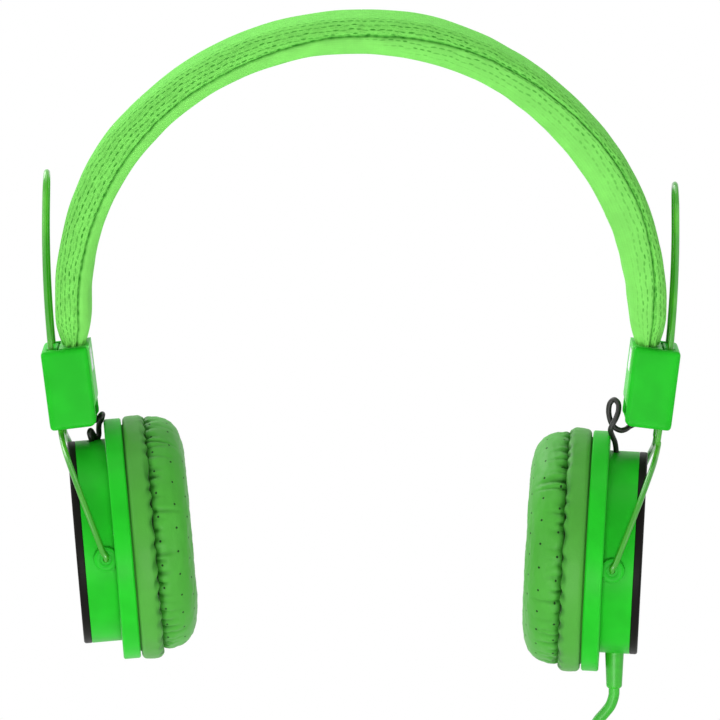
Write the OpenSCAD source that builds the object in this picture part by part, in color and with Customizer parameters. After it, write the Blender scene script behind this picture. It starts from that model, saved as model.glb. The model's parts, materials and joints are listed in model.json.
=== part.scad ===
// Folding on-ear headphone.
// Millimetres. The origin is the inner top of the headband, where it rests on the head.
// +Z is up, +X is the wearer's left, -Y is the wearer's front.

/* [Headband] */
// Distance between the centre lines of the band's two ends
band_span = 165.5; // [150:0.5:185]
// Rise of the arch above its widest point, on the centre line
arch_rise = 76.4; // [65:0.2:90]
// Straight length of each side below the arch
band_drop = 14.5; // [12.5:0.5:25]
// Width of the padded band, front to back
band_w = 32; // [27:0.5:40]
// Thickness of the padded band
band_t = 9.8; // [8.6:0.2:13]
// Corner radius of the band's section
band_corner = 4.2; // [3:0.1:4.3]
// Width of the band's gathered end
band_end_w = 15; // [14:0.2:16]
// Thickness of the band's gathered end
band_end_t = 5; // [4.6:0.1:5.6]
// Thickness of the mesh cover
cover_t = 1.2; // [0.8:0.1:1.4]
// Thickness of the knitted lining
lining_t = 0.8; // [0.6:0.1:1.2]
// Width of the spring strip
spring_w = 9; // [7:0.5:9.4]
// Thickness of the spring strip
spring_t = 0.8; // [0.5:0.1:1]
// Width of the flat lead beside the spring
flat_lead_w = 1.6; // [1.2:0.1:1.7]
// Thickness of the flat lead
flat_lead_t = 0.9; // [0.6:0.1:1]

/* [Slider block] */
// Width of the block, inner face to outer face
block_w = 13.3; // [12.6:0.1:16]
// Height of the block
block_h = 22.6; // [21.6:0.2:28]
// Depth of the block, front to back
block_d = 20; // [19.4:0.2:26]
// Edge radius of the block
block_edge = 1.2; // [0.6:0.1:1.3]
// Chamfer at the block's lower inner corner
block_chamfer = 0.6; // [0.2:0.1:3.4]
// Lean of the block, top outward
block_lean = 7; // [4:0.5:10]
// Distance of the block's centre outside the band's centre line
block_shift = 1.35; // [1:0.05:1.8]
// Thickness of the block's side walls
block_wall = 1.6; // [1.4:0.1:1.7]
// Thickness of the block's outer wall, which guides the wires
guide_wall = 4.75; // [4.6:0.05:5.2]
// Thickness of the cover plate over the wire grooves
guide_cover_t = 0.8; // [0.6:0.05:0.8]
// Diameter of the fold pin
fold_pin_d = 2.5; // [2:0.1:2.8]
// Radius of the tongue's rounded heel about the fold pin
heel_r = 3.3; // [3:0.1:3.4]
// Height of the fold pin above the block's lower face
fold_pin_up = 6.65; // [6.6:0.05:7.2]
// Distance that the tongue stands proud of the block's inner face
tongue_proud = 0.5; // [0.2:0.1:0.8]
// Distance of the slack lead's hole inside the block's centre
lead_hole_in = 2.3; // [1.8:0.1:2.6]

/* [Wire arm] */
// Diameter of the arm's wire
wire_d = 1.7; // [1.4:0.1:1.8]
// Distance between the two legs inside the block
leg_gap = 12.6; // [12:0.2:12.8]
// Radius of the arc on which the wires slide
slide_r = 360; // [300:10:450]
// Height of the retracted loop above the block's centre
loop_up = 61.75; // [55:0.25:70]
// Length of wire that the left arm is drawn out
left_draw = 3.6; // [0:0.2:10]
// Length of wire that the right arm is drawn out
right_draw = 0; // [0:0.2:10]
// Distance from the housing's wall to the centre line of the wire bow
bow_gap = 2.4; // [2.2:0.1:4]
// Height of the bow's neck below the block
bow_neck = 2.8; // [2.6:0.1:6]
// Outward lean of the bow at its top
bow_lean = 12.3; // [10:0.1:14]

/* [Ear cup] */
// Toe-in of the cups, front edges together
toe = 3.2; // [0:0.2:6]
// Tilt of the left cup at rest, top outward
left_tilt = 2.6; // [0:0.1:5]
// Tilt of the right cup at rest, top outward
right_tilt = 4.5; // [0:0.1:5]
// Radius of the housing
housing_r = 29.4; // [28.6:0.1:29.6]
// Height of the housing
housing_h = 8.7; // [8.4:0.1:10]
// Wall of the housing
housing_wall = 1.6; // [1.4:0.1:2]
// Thickness of the black cap
cap_t = 2.3; // [1.8:0.1:3]
// Radius of the baffle's rim
baffle_r = 34.95; // [33.6:0.05:36]
// Height of the baffle's rim
baffle_h = 5; // [4.8:0.1:6]
// Distance from the baffle's outer face to the pivot axis
pivot_up = 2.7; // [2.6:0.1:3]
// Diameter of the pivot bosses
boss_d = 6.6; // [6.2:0.1:7]
// Height of the pivot bosses on the housing's wall
boss_h = 1.3; // [1.1:0.1:1.4]
// Diameter of the driver
driver_d = 40.6; // [38:0.2:41]

/* [Ear pad] */
// Radius of the pad's rolled back edge
flange_r = 35.8; // [35.2:0.1:37]
// Height of the rolled back edge
flange_h = 6.4; // [6:0.1:8]
// Outer radius of the cushion where it meets the roll
cushion_r = 33.6; // [32.8:0.1:35.2]
// Height of the cushion
cushion_h = 11; // [9:0.2:13]
// Radius of the cushion's opening
cushion_hole_r = 14; // [12:0.2:16]

/* [Cable] */
// Diameter of the cable
cable_d = 3.2; // [2.8:0.1:3.3]
// Diameter of the strain relief at the housing
relief_d = 5.5; // [5:0.1:5.6]
// Length of the strain relief below the housing
relief_len = 11; // [9:0.2:14]
// Number of loops in the put-away coil
coil_loops = 8; // [4:2:8]
// Distance between neighbouring loops of the coil
coil_pitch = 4; // [3.8:0.05:4.2]
// Outer radius of the coil, on the cable's centre line
coil_r = 29; // [29:0.5:32]
// Diameter of the slack leads
slack_d = 1.5; // [1.2:0.1:1.6]

/* [Fits] */
// Running clearance of a pin in its bore, on the radius
pin_play = 0.05; // [0.03:0.01:0.08]
// Clearance of a pressed pin or a glued part, on the radius
press_play = 0.02; // [0.01:0.01:0.03]
// Clearance of the wires in their grooves, each way
wire_play = 0.2; // [0.15:0.05:0.3]
// Gap at each side of the tongue inside the block
tongue_play = 0.2; // [0.15:0.05:0.3]
// Gap between parts that seat on each other
seat = 0.05; // [0.02:0.01:0.1]

/* [Hidden] */
$fn = 64;
far = 100;

// ---------- derived sizes ----------
half_t = band_t / 2;
arch_a = band_span / 2;
arch_z = half_t - arch_rise;
band_end_z = arch_z - band_drop;
lean_dir = [cos(block_lean), 0, -sin(block_lean)];
lean_up = [sin(block_lean), 0, cos(block_lean)];
block_at = [arch_a + block_shift, 0, band_end_z - block_h / 2 * cos(block_lean)];

// Block frame: x runs outward, z up along the leaning block
wall_x = block_w / 2 - guide_wall;
pin_x = wall_x - 0.4 - heel_r;
pin_z = fold_pin_up - block_h / 2;
tongue_in = -block_w / 2 - tongue_proud;
tongue_out = pin_x + heel_r;
tongue_top = block_h / 2;
tongue_low = pin_z - heel_r;
tongue_d = block_d - 2 * block_wall - 2 * tongue_play;
tongue_round = 3;
floor_z = -block_h / 2 + 1;
band_x = -2.7;
spring_low = tongue_top - 8.5;
rivet_z = tongue_top - 5;
mark_h = 6.4;
mark_w = 9;
mark_t = 0.5;
mark_z = tongue_top - 5.2;
lead_hole_x = -lead_hole_in;

// Wire: the slide centre is level with the block's centre, in the block frame
wire_x = block_w / 2 - guide_wall / 2 - 0.275;
wire_r = wire_d / 2;
groove_in = wire_x - wire_r - wire_play - 0.18;
groove_out = wire_x + wire_r + wire_play;
bow_r = housing_r + bow_gap;
boss_reach = housing_r + boss_h;
slide_at = block_at + (wire_x - slide_r) * lean_dir;
exit_at = block_at + wire_x * lean_dir - block_h / 2 * lean_up;
pivot_at = [exit_at[0] - bow_lean + 0.1, 0, exit_at[2] - bow_neck - bow_r];
loop_r = leg_gap / 2;
left_turn = left_draw / slide_r * 180 / PI;
right_turn = right_draw / slide_r * 180 / PI;

// Cup frame: x runs outward along the cup's axis from the baffle's outer face
cap_x = housing_h + seat;
deck_t = 1.4;
deck_x = housing_h - 3.2;
flange_x = -baffle_h - seat;
roll_x = flange_x - 0.35;
cushion_x = flange_x - flange_h;
driver_r = driver_d / 2;
baffle_wall = 1.8;
plate_t = 1.6;
lip_t = 0.6;
post_r = 2.2;
post_at = 24.4;
post_angles = [45, 165, 285];
screw_d = 2;
bush_r = 1.6;
relief_x = 4.4;
cap_rim_up = 1.1;
left_lead_x = 1.85;
right_lead_x = 4.2;
lead_play = 0.4;
relief_lean = 2.4;
relief_collar = 0.35;
relief_collar_t = 0.9;

// ---------- small functions ----------
function unit(v) = v / norm(v);
function flip(v) = [for (i = [len(v) - 1:-1:0]) v[i]];
function mix(a, b, t) = a + (b - a) * t;

// Direction of a path at one of its points
function heading(path, i) =
    unit(path[min(i + 1, len(path) - 1)] - path[max(i - 1, 0)]);

// Side directions carried along a path without twist
function carried(path, side, i = 0, done = []) =
    i == len(path) ? done :
    let (t = heading(path, i), s = i == 0 ? side : done[i - 1])
    carried(path, side, i + 1, concat(done, [unit(s - (s * t) * t)]));

// Rings of a round tube along a path
function tube_rings(path, r, sides, side) =
    let (s = carried(path, side))
    [for (i = [0:len(path) - 1])
        let (b = cross(heading(path, i), s[i]))
        [for (k = [0:sides - 1])
            path[i] + r * (cos(360 * k / sides) * s[i] + sin(360 * k / sides) * b)]];

// A closed skin over rings that have the same number of points.
// A hollow ring is a strip: its first half runs out along one edge, its second half back.
module skin(rings, hollow = false, closed = false) {
    n = len(rings[0]);
    m = len(rings);
    last = (m - 1) * n;
    spans = closed ? m : m - 1;
    sides = [for (i = [0:spans - 1], k = [0:n - 1])
        let (a = i * n + k, b = i * n + (k + 1) % n, up = ((i + 1) % m - i) * n)
        each [[a, a + up, b + up], [a, b + up, b]]];
    strip = [for (k = [0:n / 2 - 2])
        each [[k, k + 1, n - 2 - k], [k, n - 2 - k, n - 1 - k]]];
    fan = [for (k = [1:n - 2]) [0, k, k + 1]];
    start = closed ? [] : hollow ? strip : fan;
    end = [for (f = start) [last + f[0], last + f[2], last + f[1]]];
    polyhedron([for (r = rings) each r], concat(sides, start, end));
}

module tube(path, d, sides = 8, side = [0, 1, 0]) {
    skin(tube_rings(path, d / 2, sides, side));
}

// ---------- frames ----------
// The modules draw the left side, and the right side is its mirror image
module half(side) {
    if (side > 0) children(); else mirror([1, 0, 0]) children();
}

module in_block() {
    translate(block_at) rotate([0, block_lean, 0]) children();
}

module drawn(side) {
    translate(slide_at) rotate([0, side > 0 ? left_turn : right_turn, 0])
        translate(-slide_at) children();
}

module in_cup(side) {
    tilt = side > 0 ? left_tilt - left_turn : right_tilt - right_turn;
    drawn(side) translate(pivot_at) rotate([0, 0, -toe]) rotate([0, tilt, 0])
        translate([-pivot_up, 0, 0]) children();
}

// Turns a shape drawn along +Z to lie along +X, the cup's axis
module outward() {
    rotate([0, 90, 0]) children();
}

// A ring about the cup's axis from its outline in [radius, x] pairs
module turned(outline) {
    outward() rotate_extrude($fn = 96) polygon(outline);
}

module along_y(d, y0, y1, fn = 48) {
    translate([0, y0, 0]) rotate([-90, 0, 0]) cylinder(d = d, h = y1 - y0, $fn = fn);
}

// ---------- headband ----------
// Stations up each end: [height above the end, thickness share, width share]
gather = [[0, 0, 0], [1.2, 0.28, 0.06], [2.6, 0.55, 0.24], [6, 0.83, 0.75], [11, 1, 1]];
end_at = block_at + band_x * lean_dir + (tongue_top + seat) * lean_up;

// Station: [centre x, centre z, outward normal, thickness, width]
function end_station(g, side) =
    let (t = mix(band_end_t, band_t, g[1]), w = mix(band_end_w, band_w, g[2]))
    g[0] == 0
        ? [side * end_at[0], end_at[2], [side * cos(block_lean), -sin(block_lean)], t, w]
        : [side * arch_a, band_end_z + g[0], [side, 0], t, w];

function arch_station(a) =
    [arch_a * cos(a), arch_z + arch_rise * sin(a),
     unit([arch_rise * cos(a), arch_a * sin(a)]), band_t, band_w];

arch_steps = 34;
stations = concat(
    [for (g = gather) end_station(g, -1)],
    [for (i = [arch_steps:-1:0]) arch_station(180 * i / arch_steps)],
    [for (g = flip(gather)) end_station(g, 1)]);

// Upper half of a rounded section as [across, outward] pairs
function upper_arc(w, t, r, steps) = concat(
    [[-w / 2, 0]],
    [for (i = [0:steps]) let (a = 180 - 90 * i / steps)
        [-w / 2 + r + r * cos(a), t / 2 - r + r * sin(a)]],
    [for (i = [0:steps]) let (a = 90 - 90 * i / steps)
        [w / 2 - r + r * cos(a), t / 2 - r + r * sin(a)]],
    [[w / 2, 0]]);

function placed(s, p, sign) =
    [s[0] + sign * p[1] * s[2][0], sign * p[0], s[1] + sign * p[1] * s[2][1]];

function fabric_ring(s, thick, sign) =
    let (r = min(band_corner, s[3] / 2 - 0.2), q = max(r - thick, 0.2),
         outer = upper_arc(s[4], s[3], r, 3),
         inner = upper_arc(s[4] - 2 * thick, s[3] - 2 * thick, q, 3))
    [for (p = concat(outer, flip(inner))) placed(s, p, sign)];

module headband_cover() {
    color([0.43, 0.80, 0.32])
        skin([for (s = stations) flip(fabric_ring(s, cover_t, 1))], hollow = true);
}

module headband_lining() {
    color([0.48, 0.84, 0.36])
        skin([for (s = stations) flip(fabric_ring(s, lining_t, -1))], hollow = true);
}

// Points on the band at a height above its centre line, from the left end to the right
function arch_line(list, up) = [for (s = list) [s[0] + up * s[2][0], s[1] + up * s[2][1]]];
inner_stations = [for (s = stations) if (s[3] == band_t) s];

module arch_strip(list, low, high, y0, y1) {
    translate([0, y1, 0]) rotate([90, 0, 0]) linear_extrude(y1 - y0)
        polygon(concat(arch_line(list, high), flip(arch_line(list, low))));
}

foam_w = band_w - 2 * band_corner;
foam_gap = 0.15;

module headband_foam_top() {
    color([0.85, 0.85, 0.8]) arch_strip(inner_stations, spring_t / 2 + foam_gap,
        half_t - cover_t - foam_gap, -foam_w / 2, foam_w / 2);
}

module headband_foam_under() {
    color([0.85, 0.85, 0.8]) arch_strip(inner_stations, -half_t + lining_t + foam_gap,
        -spring_t / 2 - foam_gap, -foam_w / 2, foam_w / 2);
}

// The strip's two ends run on into the tongues
strip_end = block_at + band_x * lean_dir + spring_low * lean_up;
strip_stations = concat(
    [[-strip_end[0], strip_end[2], [-lean_dir[0], lean_dir[2]], 0, 0]],
    stations,
    [[strip_end[0], strip_end[2], [lean_dir[0], lean_dir[2]], 0, 0]]);

module headband_spring() {
    color("silver") difference() {
        arch_strip(strip_stations, -spring_t / 2, spring_t / 2, -spring_w / 2, spring_w / 2);
        for (side = [-1, 1]) half(side) in_block()
            translate([-far / 2, 0, rivet_z]) outward() cylinder(d = rivet_d + 0.2, h = far / 2);
    }
}

lead_y = spring_w / 2 + 0.25;

module headband_lead() {
    color([0.15, 0.15, 0.15]) arch_strip(strip_stations,
        -flat_lead_t / 2, flat_lead_t / 2, lead_y, lead_y + flat_lead_w);
}

// ---------- band end: the tongue that turns in the block ----------
rivet_d = 2.4;
rivet_head_d = 3.8;
rivet_head_t = 0.6;

module tongue_outline() {
    polygon(concat(
        [[tongue_in, tongue_top], [tongue_in, tongue_low + tongue_round]],
        [for (a = [190:10:270]) [tongue_in + tongue_round + tongue_round * cos(a),
                                 tongue_low + tongue_round + tongue_round * sin(a)]],
        [for (a = [270:10:360]) [pin_x + heel_r * cos(a), pin_z + heel_r * sin(a)]],
        [[tongue_out, tongue_top]]));
}

module band_end() {
    difference() {
        translate([0, tongue_d / 2, 0]) rotate([90, 0, 0])
            linear_extrude(tongue_d) tongue_outline();
        // slot for the spring strip and the flat lead
        translate([band_x - spring_t / 2 - 0.1, -spring_w / 2 - 0.1, spring_low - 0.1])
            cube([spring_t + 0.2, spring_w + 0.2, far]);
        translate([band_x - flat_lead_t / 2 - 0.1, lead_y - 0.1, spring_low - 0.1])
            cube([flat_lead_t + 0.2, flat_lead_w + 0.2, far]);
        translate([tongue_in, -mark_w / 2 - 0.1, mark_z - mark_h / 2 - 0.1])
            translate([-1, 0, 0]) cube([mark_t + seat + 1, mark_w + 0.2, mark_h + 0.2]);
        translate([pin_x, 0, pin_z]) along_y(fold_pin_d + 2 * pin_play, -far, far);
        translate([-far / 2, 0, rivet_z]) outward()
            cylinder(d = rivet_d + 2 * press_play, h = far);
        translate([tongue_in + mark_t, 0, rivet_z]) outward()
            cylinder(d = rivet_head_d + 0.1, h = rivet_head_t + 2 * seat);
        translate([tongue_out - rivet_head_t - 2 * seat, 0, rivet_z]) outward()
            cylinder(d = rivet_head_d + 0.1, h = far);
    }
}

module left_band_end() { color([0.45, 0.84, 0.42]) half(1) in_block() band_end(); }
module right_band_end() { color([0.45, 0.84, 0.42]) half(-1) in_block() band_end(); }

// White label plate with a plain raised letter made of bars
module side_mark(side) {
    bar = 0.8;
    letter_h = 4;
    letter_w = 2.6;
    raise = 0.15;
    translate([tongue_in + seat, -mark_w / 2, mark_z - mark_h / 2]) cube([mark_t, mark_w, mark_h]);
    translate([tongue_in + seat - raise, 0, mark_z]) {
        translate([0, -letter_w / 2, -letter_h / 2]) cube([raise + 0.1, bar, letter_h]);
        if (side > 0) {
            translate([0, -letter_w / 2, -letter_h / 2]) cube([raise + 0.1, letter_w, bar]);
        } else {
            translate([0, -letter_w / 2, letter_h / 2 - bar]) cube([raise + 0.1, letter_w, bar]);
            translate([0, -letter_w / 2, -bar / 2]) cube([raise + 0.1, letter_w, bar]);
            translate([0, letter_w / 2 - bar, 0]) cube([raise + 0.1, bar, letter_h / 2]);
            translate([0, letter_w / 2 - bar, -letter_h / 2])
                cube([raise + 0.1, bar, letter_h / 2 - bar / 2]);
        }
    }
}

module left_side_mark() { color("white") half(1) in_block() side_mark(1); }
module right_side_mark() { color("white") half(-1) in_block() side_mark(-1); }

module band_rivets() {
    inner = tongue_in + mark_t + 2 * seat;
    outer = tongue_out - seat;
    color("silver") for (side = [-1, 1]) half(side) in_block()
        translate([0, 0, rivet_z]) {
            translate([inner, 0, 0]) outward() cylinder(d = rivet_d, h = outer - inner);
            translate([inner, 0, 0]) outward() cylinder(d = rivet_head_d, h = rivet_head_t);
            translate([outer - rivet_head_t, 0, 0]) outward()
                cylinder(d = rivet_head_d, h = rivet_head_t);
        }
}

// ---------- slider block ----------
screw_up = 8.3;
cover_screw_d = 1.6;
cover_screw_len = 3.2;
cover_d = 15.6;
cover_low = floor_z + 0.4;
cover_top = block_h / 2 - 0.8;
catch_h = 7;
pin_skin = 0.6;

// Outline with an arc of radius r about each corner: [x, y, first angle, last angle]
function rounded(corners, r) = [for (c = corners, k = [0:3])
    let (a = mix(c[2], c[3], k / 3)) [c[0] + r * cos(a), c[1] + r * sin(a)]];
function rounded_box(w, h, r) = rounded([[r - w / 2, r - h / 2, 180, 270],
    [w / 2 - r, r - h / 2, 270, 360], [w / 2 - r, h / 2 - r, 0, 90],
    [r - w / 2, h / 2 - r, 90, 180]], r);

// Three rounded outlines crossed, so that every edge of the block is rounded
module block_body() {
    r = block_edge;
    x0 = -block_w / 2 + r;
    x1 = block_w / 2 - r;
    z0 = -block_h / 2 + r;
    z1 = block_h / 2 - r;
    intersection() {
        translate([0, block_d / 2, 0]) rotate([90, 0, 0]) linear_extrude(block_d)
            polygon(rounded([[x0, z0 + block_chamfer, 180, 225],
                [x0 + block_chamfer, z0, 225, 270], [x1, z0, 270, 360], [x1, z1, 0, 90],
                [x0, z1, 90, 180]], r));
        translate([0, 0, -block_h / 2]) linear_extrude(block_h)
            polygon(rounded_box(block_w, block_d, r));
        translate([-block_w / 2, 0, 0]) rotate([90, 0, 90]) linear_extrude(block_w)
            polygon(rounded_box(block_d, block_h, r));
    }
}

module slider_block() {
    mouth = block_d - 2 * block_wall;
    difference() {
        block_body();
        // space for the tongue, open at the top and on the inner side
        translate([-far, -mouth / 2, floor_z]) cube([far + wall_x, mouth, far]);
        // recess for the cover plate
        translate([wall_x - 1, -cover_d / 2 - 0.1, cover_low - 0.1])
            cube([guide_cover_t + 2 * seat + 1, cover_d + 0.2, cover_top - cover_low + 0.2]);
        // two wire grooves
        for (y = [-1, 1])
            translate([wall_x + 0.2, y * loop_r - wire_r - wire_play, -far / 2])
                cube([groove_out - wall_x - 0.2, wire_d + 2 * wire_play, far]);
        // pocket of the friction spring
        translate([wall_x, -loop_r, -catch_h / 2 - 0.2])
            cube([groove_out - wall_x, leg_gap, catch_h + 0.4]);
        for (z = [-1, 1]) translate([wall_x, 0, z * screw_up]) outward()
            cylinder(d = cover_screw_d + 2 * press_play, h = guide_cover_t + cover_screw_len + 0.3);
        translate([pin_x, 0, pin_z])
            along_y(fold_pin_d + 2 * press_play, -block_d / 2 + pin_skin, block_d / 2 - pin_skin);
        translate([lead_hole_x, 0, -far / 2]) cylinder(d = slack_d + 0.4, h = far / 2);
    }
}

// The plate that closes the wire grooves on the tongue's side
module slider_cover() {
    head_d = 3;
    difference() {
        translate([wall_x + seat, -cover_d / 2, cover_low])
            cube([guide_cover_t, cover_d, cover_top - cover_low]);
        for (z = [-1, 1]) translate([wall_x, 0, z * screw_up]) outward() {
            cylinder(d = cover_screw_d + 0.1, h = far);
            cylinder(d = head_d + 0.2, h = seat + 0.45);
        }
    }
}

module cover_screws() {
    head_d = 3;
    for (z = [-1, 1]) translate([wall_x + seat, 0, z * screw_up]) outward() difference() {
        union() {
            cylinder(d = head_d, h = 0.4);
            cylinder(d = cover_screw_d, h = guide_cover_t + cover_screw_len);
        }
        translate([-0.2, -far, -0.1]) cube([0.4, 2 * far, 0.3]);
    }
}

// Bent steel leaf whose two arms press on the wires
module friction_spring() {
    leaf = 0.3;
    arm = loop_r - wire_r - wire_play;
    depth = groove_out - groove_in - 0.3;
    translate([groove_out - seat - depth, 0, -catch_h / 2]) {
        translate([depth - leaf, -arm, 0]) cube([leaf, 2 * arm, catch_h]);
        for (y = [-1, 1]) translate([0, y * (arm - leaf / 2) - leaf / 2, 0])
            cube([depth, leaf, catch_h]);
    }
}

module fold_pin() {
    reach = block_d / 2 - pin_skin - seat;
    translate([pin_x, 0, pin_z]) along_y(fold_pin_d, -reach, reach);
}

block_green = [0.16, 0.68, 0.17];
module left_slider_block() { color(block_green) half(1) in_block() slider_block(); }
module right_slider_block() { color(block_green) half(-1) in_block() slider_block(); }
module left_slider_cover() { color(block_green) half(1) in_block() slider_cover(); }
module right_slider_cover() { color(block_green) half(-1) in_block() slider_cover(); }
module left_cover_screws() { color("silver") half(1) in_block() cover_screws(); }
module right_cover_screws() { color("silver") half(-1) in_block() cover_screws(); }
module left_friction_spring() { color("silver") half(1) in_block() friction_spring(); }
module right_friction_spring() { color("silver") half(-1) in_block() friction_spring(); }
module left_fold_pin() { color("silver") half(1) in_block() fold_pin(); }
module right_fold_pin() { color("silver") half(-1) in_block() fold_pin(); }

// ---------- wire arm ----------
// The wire's slide angle at a height above the block's centre
function slide_angle(up) = block_lean - asin(up / slide_r);
function slide_point(a, y) =
    [slide_at[0] + slide_r * cos(a), y, slide_at[2] - slide_r * sin(a)];

loop_steps = 10;
leg_steps = 7;
bow_steps = 11;
loop_a = slide_angle(loop_up - loop_r);
foot_a = slide_angle(-block_h / 2 - 0.4);
loop_mid = slide_point(loop_a, 0);
loop_dir = [sin(loop_a), 0, cos(loop_a)];
bow_start = 19;
// Neck of the bow, from the block's mouth to the bow: [across, above the pivot]
neck = [[loop_r + 0.15, bow_r + 1.5], [loop_r + 0.75, bow_r + 0.3], [loop_r + 2.2, bow_r - 0.75]];
toe_rate = bow_r * sin(toe) / (bow_r - loop_r);

function toed(y, side) = side * (y - loop_r) * toe_rate;
function bow_x(up) = min(bow_lean * up / bow_r, bow_lean - 0.1);

// One leg from the block down to the boss; side is -1 at the front and 1 at the back
function leg(side) = concat(
    [for (i = [0:leg_steps]) slide_point(mix(loop_a, foot_a, i / leg_steps), side * loop_r)],
    [for (p = neck) pivot_at + [bow_x(p[1]) + toed(p[0], side), side * p[0], p[1]]],
    [for (i = [0:bow_steps]) let (a = mix(bow_start, 86, i / bow_steps))
        pivot_at + [bow_x(bow_r * cos(a)) + toed(bow_r * sin(a), side),
                    side * bow_r * sin(a), bow_r * cos(a)]],
    [for (p = [[-0.15, 1.0], [-0.6, 0.3], [-1.25, 0.02]])
        pivot_at + [toed(bow_r, side), side * (bow_r + p[0]), p[1]]]);

function loop_turn() = [for (i = [1:loop_steps - 1]) let (a = 180 * i / loop_steps)
    loop_mid - [0, loop_r * cos(a), 0] + loop_r * sin(a) * loop_dir];

module wire_arm() {
    tube(concat(flip(leg(-1)), loop_turn(), leg(1)), wire_d, 10, [1, 0, 0]);
    // true round pins in the bosses
    translate(pivot_at) rotate([0, 0, -toe]) for (side = [-1, 1])
        along_y(wire_d, side > 0 ? pin_tip : -bow_r + 0.9, side > 0 ? bow_r - 0.9 : -pin_tip, 32);
}
pin_tip = boss_reach - 3.6;

module left_wire_arm() { color([0.25, 0.6, 0.14]) half(1) drawn(1) wire_arm(); }
module right_wire_arm() { color([0.25, 0.6, 0.14]) half(-1) drawn(-1) wire_arm(); }

// ---------- slack lead from the block to the cup ----------
// Routes in the plane of the left side, from the block's lead hole, by hand
left_slack = [[0, 0, 0.6], [0, 0, -0.6], [-0.4, -0.5, -1.7], [-1.6, -1.4, -2.4], [-3, -2, -2.8],
    [-4.6, -1.6, -2.7], [-5.9, -0.8, -1.9], [-7, 0, -0.6], [-7.9, 0, 1.6], [-8, -0.2, 3.7],
    [-7.2, -1, 5.9], [-6.1, -2.2, 6.8], [-5.1, -3.2, 5.6], [-5, -4, 3.5], [-5.7, -4.2, 1.1],
    [-6.8, -4, -0.8], [-7.3, -3, -2.6], [-6.9, -1.8, -4.8], [-6.4, -0.4, -7], [-6.4, 0, -9.2],
    [-6.5, 0, -11.6]];
right_slack = [[0, 0, 0.6], [0, 0, -0.6], [-0.6, 1.2, -1.7], [-1.9, 2.8, -2.2], [-3.2, 3.2, -1.2],
    [-4.2, 2.2, 0.6], [-4.8, 0.6, 2.1], [-5.3, -1, 2.2], [-5.3, -2.8, 0.4], [-4.9, -4.2, -2],
    [-4.7, -4.6, -4], [-3.9, -3.6, -5.4], [-2.9, -1.6, -4.6], [-2, 0, -3.1], [-1.7, 1.1, -3],
    [-2, 1, -4.2], [-2.4, 0.2, -5.2], [-2.53, -0.17, -6.4], [-2.71, -0.16, -9.2]];

lead_exit = block_at + lead_hole_x * lean_dir - block_h / 2 * lean_up;

module slack_lead(route) {
    tube([for (p = route) lead_exit + p], slack_d, 8, [0, 1, 0]);
}

module left_slack_lead() { color([0.15, 0.15, 0.14]) half(1) slack_lead(left_slack); }
module right_slack_lead() { color([0.15, 0.15, 0.14]) half(-1) slack_lead(right_slack); }

// ---------- ear cup ----------
module at_posts(x) {
    for (a = post_angles) rotate([a, 0, 0]) translate([x, post_at, 0]) children();
}

module cap_disc() {
    r = housing_r;
    e = 0.7;
    rim = r - housing_wall - 0.2;
    turned(concat([[0, cap_x], [rim - 2.4, cap_x], [rim - 2.4, cap_x - cap_rim_up],
        [rim, cap_x - cap_rim_up], [rim, cap_x], [r, cap_x]],
        [for (a = [0:15:90]) [r - e + e * cos(a), cap_x + cap_t - e + e * sin(a)]],
        [[0, cap_x + cap_t]]));
}

module boss_solids() {
    difference() {
        along_y(boss_d, -boss_reach, boss_reach, 64);
        along_y(far, -housing_r + 3, housing_r - 3, 64);
    }
}

module cup_housing(side) {
    inside = housing_r - housing_wall;
    lead_x = side > 0 ? left_lead_x : right_lead_x;
    difference() {
        union() {
            turned([[inside, seat], [housing_r, seat], [housing_r, housing_h],
                [inside, housing_h], [inside, deck_x + deck_t], [4, deck_x + deck_t],
                [4, deck_x], [inside, deck_x]]);
            translate([pivot_up, 0, 0]) boss_solids();
            at_posts(seat) outward() cylinder(r = post_r, h = deck_x + 0.2 - seat, $fn = 32);
        }
        // the bosses stop at the baffle
        translate([-far, -far, -far]) cube([far + seat, 2 * far, 2 * far]);
        translate([pivot_up, 0, 0]) along_y(2 * (bush_r + press_play), -far, far);
        at_posts(-1) outward() cylinder(d = screw_d + 2 * press_play, h = 5.2, $fn = 32);
        translate([lead_x, 0, 0]) cylinder(d = slack_d + 2 * lead_play, h = far, $fn = 32);
        if (side > 0) in_relief() {
            cylinder(d = relief_d + 2 * seat, h = 8, center = true);
            translate([0, 0, collar_z - seat])
                cylinder(d = relief_d + 2 * (relief_collar + seat), h = relief_collar_t + 2 * seat);
        }
    }
}

module pivot_bushes() {
    for (side = [-1, 1]) translate([pivot_up, 0, 0]) difference() {
        along_y(2 * bush_r, side > 0 ? pin_tip - 0.3 : -boss_reach + 0.1,
            side > 0 ? boss_reach - 0.1 : -pin_tip + 0.3);
        along_y(wire_d + 2 * pin_play, side > 0 ? pin_tip - 0.05 : -far,
            side > 0 ? far : -pin_tip + 0.05);
    }
}

module baffle_ring() {
    r = baffle_r;
    e = 0.4;
    inner = driver_r + 0.1;
    difference() {
        turned([[inner, 0], [r - e, 0], [r, -e], [r, -baffle_h + e], [r - e, -baffle_h],
            [r - 2.2, -baffle_h], [r - 2.2, -plate_t], [inner + baffle_wall, -plate_t],
            [inner + baffle_wall, -baffle_h], [inner - 1.5, -baffle_h],
            [inner - 1.5, -baffle_h + lip_t], [inner, -baffle_h + lip_t]]);
        at_posts(-far / 2) outward() cylinder(d = screw_d + 0.2, h = far, $fn = 32);
    }
}

screw_head_d = 3.8;
screw_head_t = 1.2;
screw_grip = 4;
cross_w = 0.5;

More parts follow.
